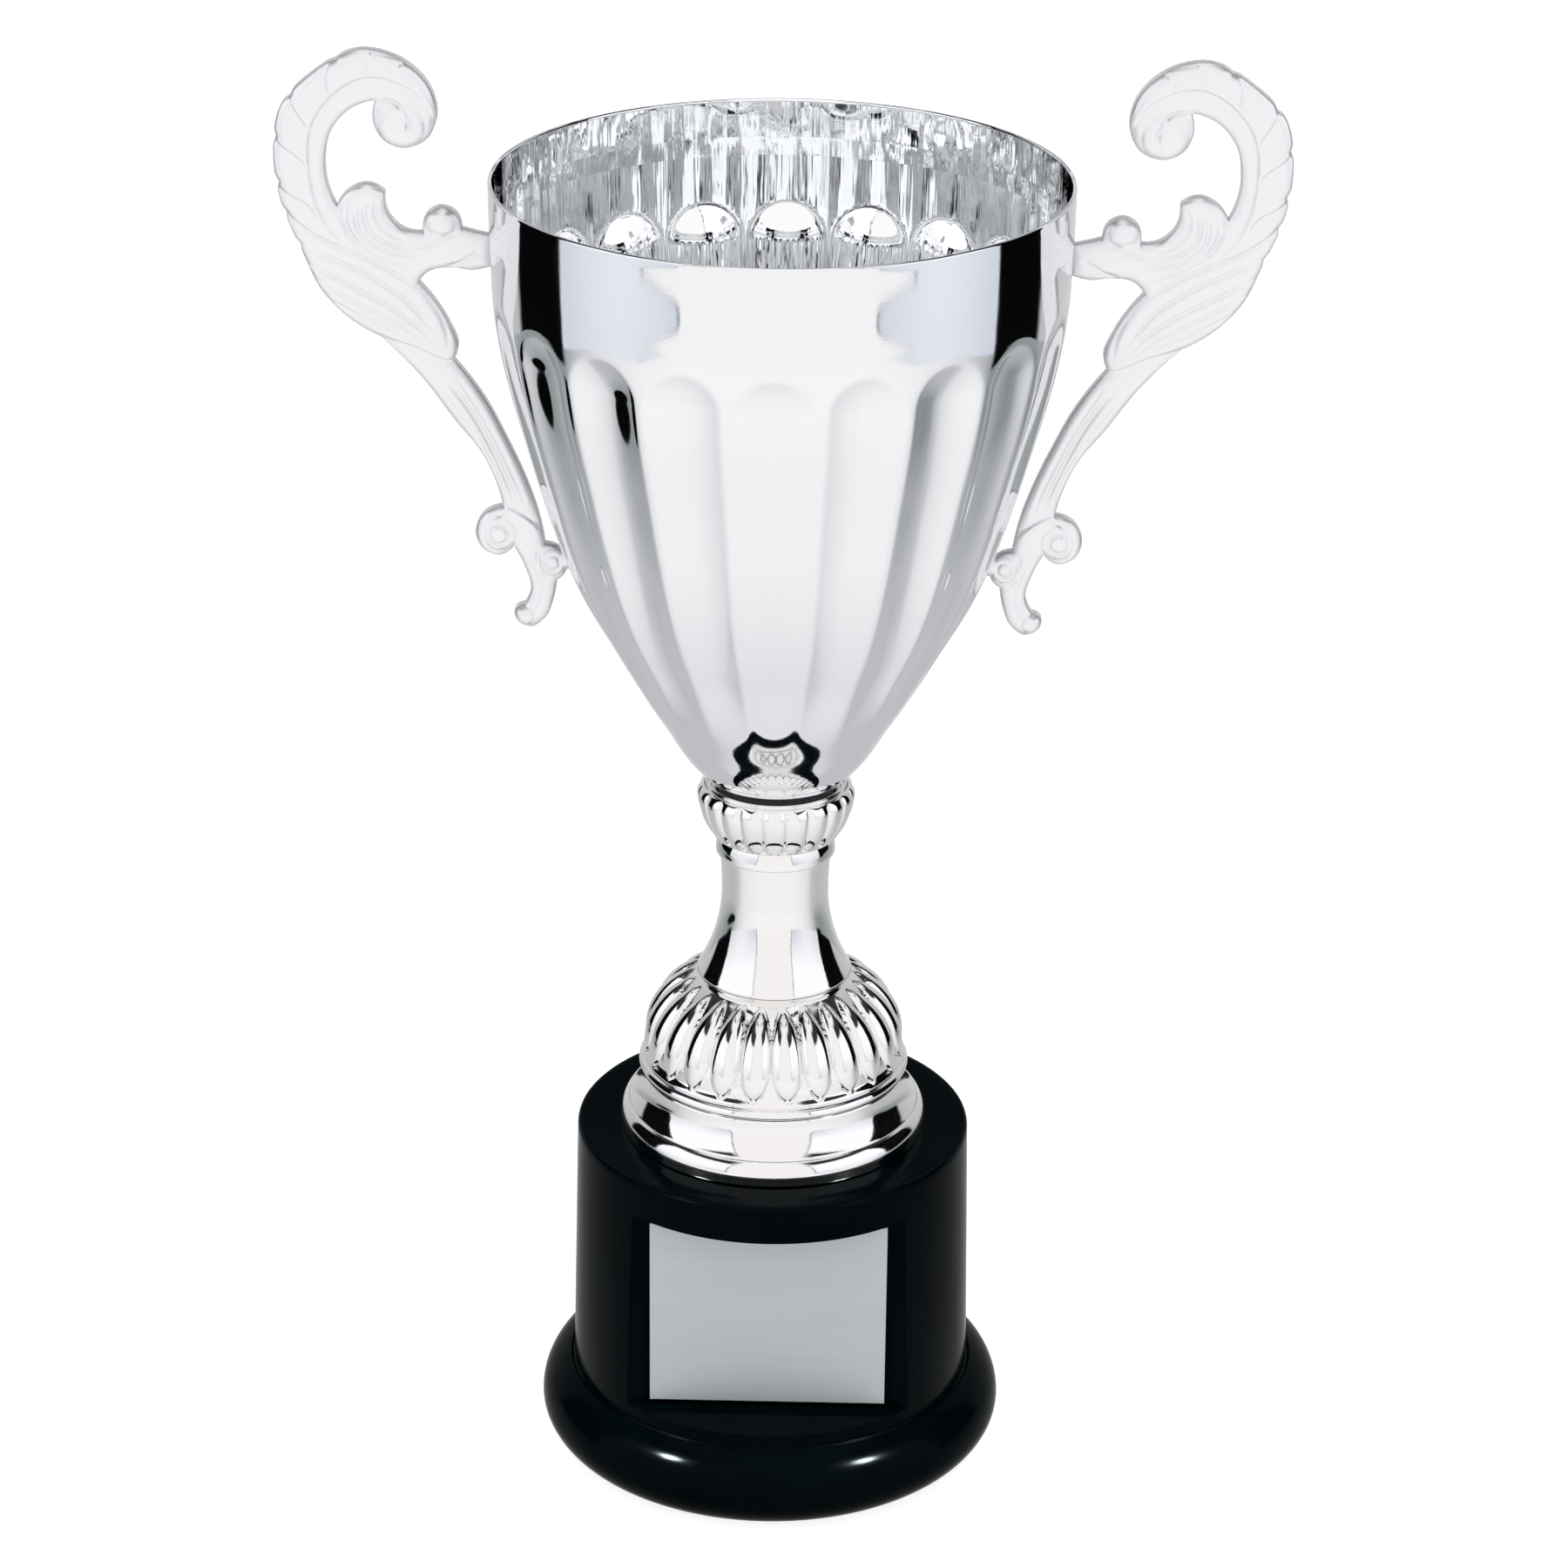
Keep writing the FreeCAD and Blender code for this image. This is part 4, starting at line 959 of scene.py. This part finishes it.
def table_mesh(columns=120):
    """A flat disc of rings, open in the middle."""
    points = [(radius * math.cos(TURN * i / columns), radius * math.sin(TURN * i / columns), TABLE_HEIGHT)
              for radius in TABLE_RINGS for i in range(columns)]
    faces = []
    for ring in range(len(TABLE_RINGS) - 1):
        inner, outer = ring * columns, (ring + 1) * columns
        for i in range(columns):
            ahead = (i + 1) % columns
            faces.append((inner + i, inner + ahead, outer + ahead, outer + i))
    mesh = bpy.data.meshes.new("studio_table")
    mesh.from_pydata(points, [], faces)
    return mesh


def table():
    """The white table as polished metal sees it: grey towards the back, with a dark thing on the left, and
    darker close to the base as a painted shadow of the cup.
    """
    mesh = table_mesh()
    item = bpy.data.objects.new("studio_table", mesh)
    material = bpy.data.materials.new("studio_table")
    material.use_nodes = True
    nodes = Nodes(material.node_tree)
    turn, _, (x, y, _) = nodes.directions(nodes.add("ShaderNodeTexCoord").outputs["Object"])
    share = nodes.math("DIVIDE", turn, 180.0)
    far, middle, near = (nodes.ramp(share, [(degrees / 180, studio_grey(level)) for degrees, level in stops])
                         for stops in (TABLE_FAR, TABLE_MIDDLE, TABLE_NEAR_SHADOWED))
    away = nodes.math("SQRT", nodes.squares(x, y))
    colour = nodes.blend(nodes.rise(away, *TO_FAR), middle, far)
    # painted shadow of the cup on the table, close to the base
    colour = nodes.blend(nodes.fall(away, *TO_NEAR), colour, near)
    gap = nodes.math("MULTIPLY", nodes.rise(turn, *TABLE_GAP), nodes.fall(turn, *TABLE_GAP_END))
    gap = nodes.math("MULTIPLY", gap, nodes.rise(away, *TABLE_GAP_START))
    colour = nodes.blend(gap, colour, DARK)
    from_thing = nodes.squares(nodes.off(y, *THING_Y), nodes.off(x, *THING_X))
    colour = nodes.blend(nodes.fall(from_thing, 0.8, 1.0), colour, DARK)
    glow = nodes.add("ShaderNodeEmission")
    nodes.link(colour, glow.inputs["Color"])
    output = nodes.add("ShaderNodeOutputMaterial")
    nodes.link(glow.outputs[0], output.inputs["Surface"])
    material.cycles.emission_sampling = "NONE"
    mesh.materials.append(material)
    bpy.context.scene.collection.objects.link(item)
    for visibility in ("visible_camera", "visible_diffuse", "visible_shadow", "visible_transmission"):
        setattr(item, visibility, False)


def studio_colour(nodes):
    """What polished metal reflects: a warm front, two soft boxes, two black gaps and a grey back."""
    turn, height, _ = nodes.directions(nodes.add("ShaderNodeTexCoord").outputs["Generated"])
    low = nodes.rise(height, *LOW)

    def past(edge, swing=None):
        """Degrees past an edge that leans away from the front as it goes down."""
        start, lean = edge
        place = nodes.math("MULTIPLY_ADD", low, lean, start)
        if swing is not None:
            place = nodes.math("ADD", place, swing)
        return nodes.math("SUBTRACT", turn, place)

    stops = [(part, (size,) * 3) for part, size in BULGE]
    bulge = nodes.ramp(nodes.rise(height, *BULGE_HEIGHTS), stops, "B_SPLINE")
    past_line = past(BOX_EDGE, nodes.math("MULTIPLY", bulge, BULGE_SWING))
    off_centre = nodes.math("SQRT", nodes.squares(nodes.off(turn, *BOX_ACROSS), nodes.off(height, *BOX_UP)))
    box = nodes.blend(nodes.fall(off_centre, 0.2, 1.0), BLUISH, BRIGHT)
    box = nodes.blend(nodes.rise(height, *BOX_GLARE), box, GLARE)
    colour = nodes.blend(nodes.rise(past_line, -0.3, 0.3), WARM, box)
    colour = nodes.blend(nodes.fall(nodes.math("ABSOLUTE", past_line), 0.35, 0.9), colour, LINE)
    colour = nodes.blend(nodes.rise(past(GAP_EDGE), -0.5, 0.5), colour, DARK)
    back = nodes.ramp(nodes.rise(turn, *BACK_ACROSS), [(0.0, GREY), (1.0, PALE)])
    colour = nodes.blend(nodes.rise(past(BACK_EDGE), -1.0, 2.0), colour, back)
    above_box = nodes.math("MULTIPLY", nodes.rise(turn, *DIM_ACROSS), nodes.rise(height, *DIM_UP))
    colour = nodes.blend(above_box, colour, DIM)
    colour = nodes.blend(nodes.rise(height, *CEILING_UP), colour, CEILING)
    from_screen = nodes.math("ABSOLUTE", nodes.math("SUBTRACT", height, SCREEN_MIDDLE))
    behind = nodes.math("MULTIPLY", nodes.rise(turn, *SCREEN_ACROSS), nodes.fall(from_screen, *SCREEN_HALF))
    return nodes.blend(behind, colour, SCREEN)


def light():
    """White light from all round, except that glossy rays see the studio's own colours."""
    world = bpy.data.worlds.new("studio")
    bpy.context.scene.world = world
    world.use_nodes = True
    nodes = Nodes(world.node_tree)
    shine = nodes.add("ShaderNodeBackground")
    nodes.link(studio_colour(nodes), shine.inputs["Color"])
    white = nodes.add("ShaderNodeBackground")
    white.inputs["Color"].default_value = (1, 1, 1, 1)
    ways = nodes.add("ShaderNodeMixShader")
    nodes.link(nodes.add("ShaderNodeLightPath").outputs["Is Glossy Ray"], ways.inputs[0])
    nodes.link(white.outputs[0], ways.inputs[1])
    nodes.link(shine.outputs[0], ways.inputs[2])
    output = nodes.add("ShaderNodeOutputWorld")
    nodes.link(ways.outputs[0], output.inputs["Surface"])


LAMP_TURN, LAMP_HEIGHT = math.radians(57.0), math.radians(43.0)
LAMP_AWAY, LAMP_SIZE, LAMP_POWER = 1.2, 0.18, 70.0


def foot_lamps():
    """Two round lamps that only the black base takes light from: the soft highlights on its foot."""
    lit = bpy.data.collections.new("lamps_shine_on")
    lit.objects.link(bpy.data.objects["base_moulding"])
    for side in (-1, 1):
        turn = LAMP_TURN * side
        across, up = math.cos(LAMP_HEIGHT), math.sin(LAMP_HEIGHT)
        place = Vector((math.sin(turn) * across, -math.cos(turn) * across, up)) * LAMP_AWAY
        data = bpy.data.lights.new("foot_lamp", "AREA")
        data.shape, data.size, data.energy = "DISK", LAMP_SIZE, LAMP_POWER
        lamp = bpy.data.objects.new("foot_lamp", data)
        lamp.matrix_world = Matrix.Translation(place) @ place.to_track_quat("Z", "Y").to_matrix().to_4x4()
        bpy.context.scene.collection.objects.link(lamp)
        lamp.light_linking.receiver_collection = lit
        lamp.visible_camera = False


CAMERA_PLACE = (1.457, -806.988, 494.185)
CAMERA_DOWN, CAMERA_ROLL, CAMERA_SWING = math.radians(23.996), math.radians(0.635), math.radians(1.0)
SENSOR, LENS = 36.0, 109.43  # in millimetres, as Blender takes them


def camera():
    """The camera looks down at the front, and is swung a little round the axis."""
    data = bpy.data.cameras.new("camera")
    data.sensor_width = SENSOR
    data.lens = LENS
    data.clip_end = 20.0
    item = bpy.data.objects.new("camera", data)
    bpy.context.scene.collection.objects.link(item)
    item.matrix_world = (Matrix.Rotation(CAMERA_SWING, 4, "Z") @ Matrix.Translation(Vector(CAMERA_PLACE) * MM)
                         @ Matrix.Rotation(math.pi / 2 - CAMERA_DOWN, 4, "X")
                         @ Matrix.Rotation(CAMERA_ROLL, 4, "Z"))
    bpy.context.scene.camera = item


plain_floor()
table()
light()
foot_lamps()
camera()
bpy.context.scene.view_settings.view_transform = "Standard"
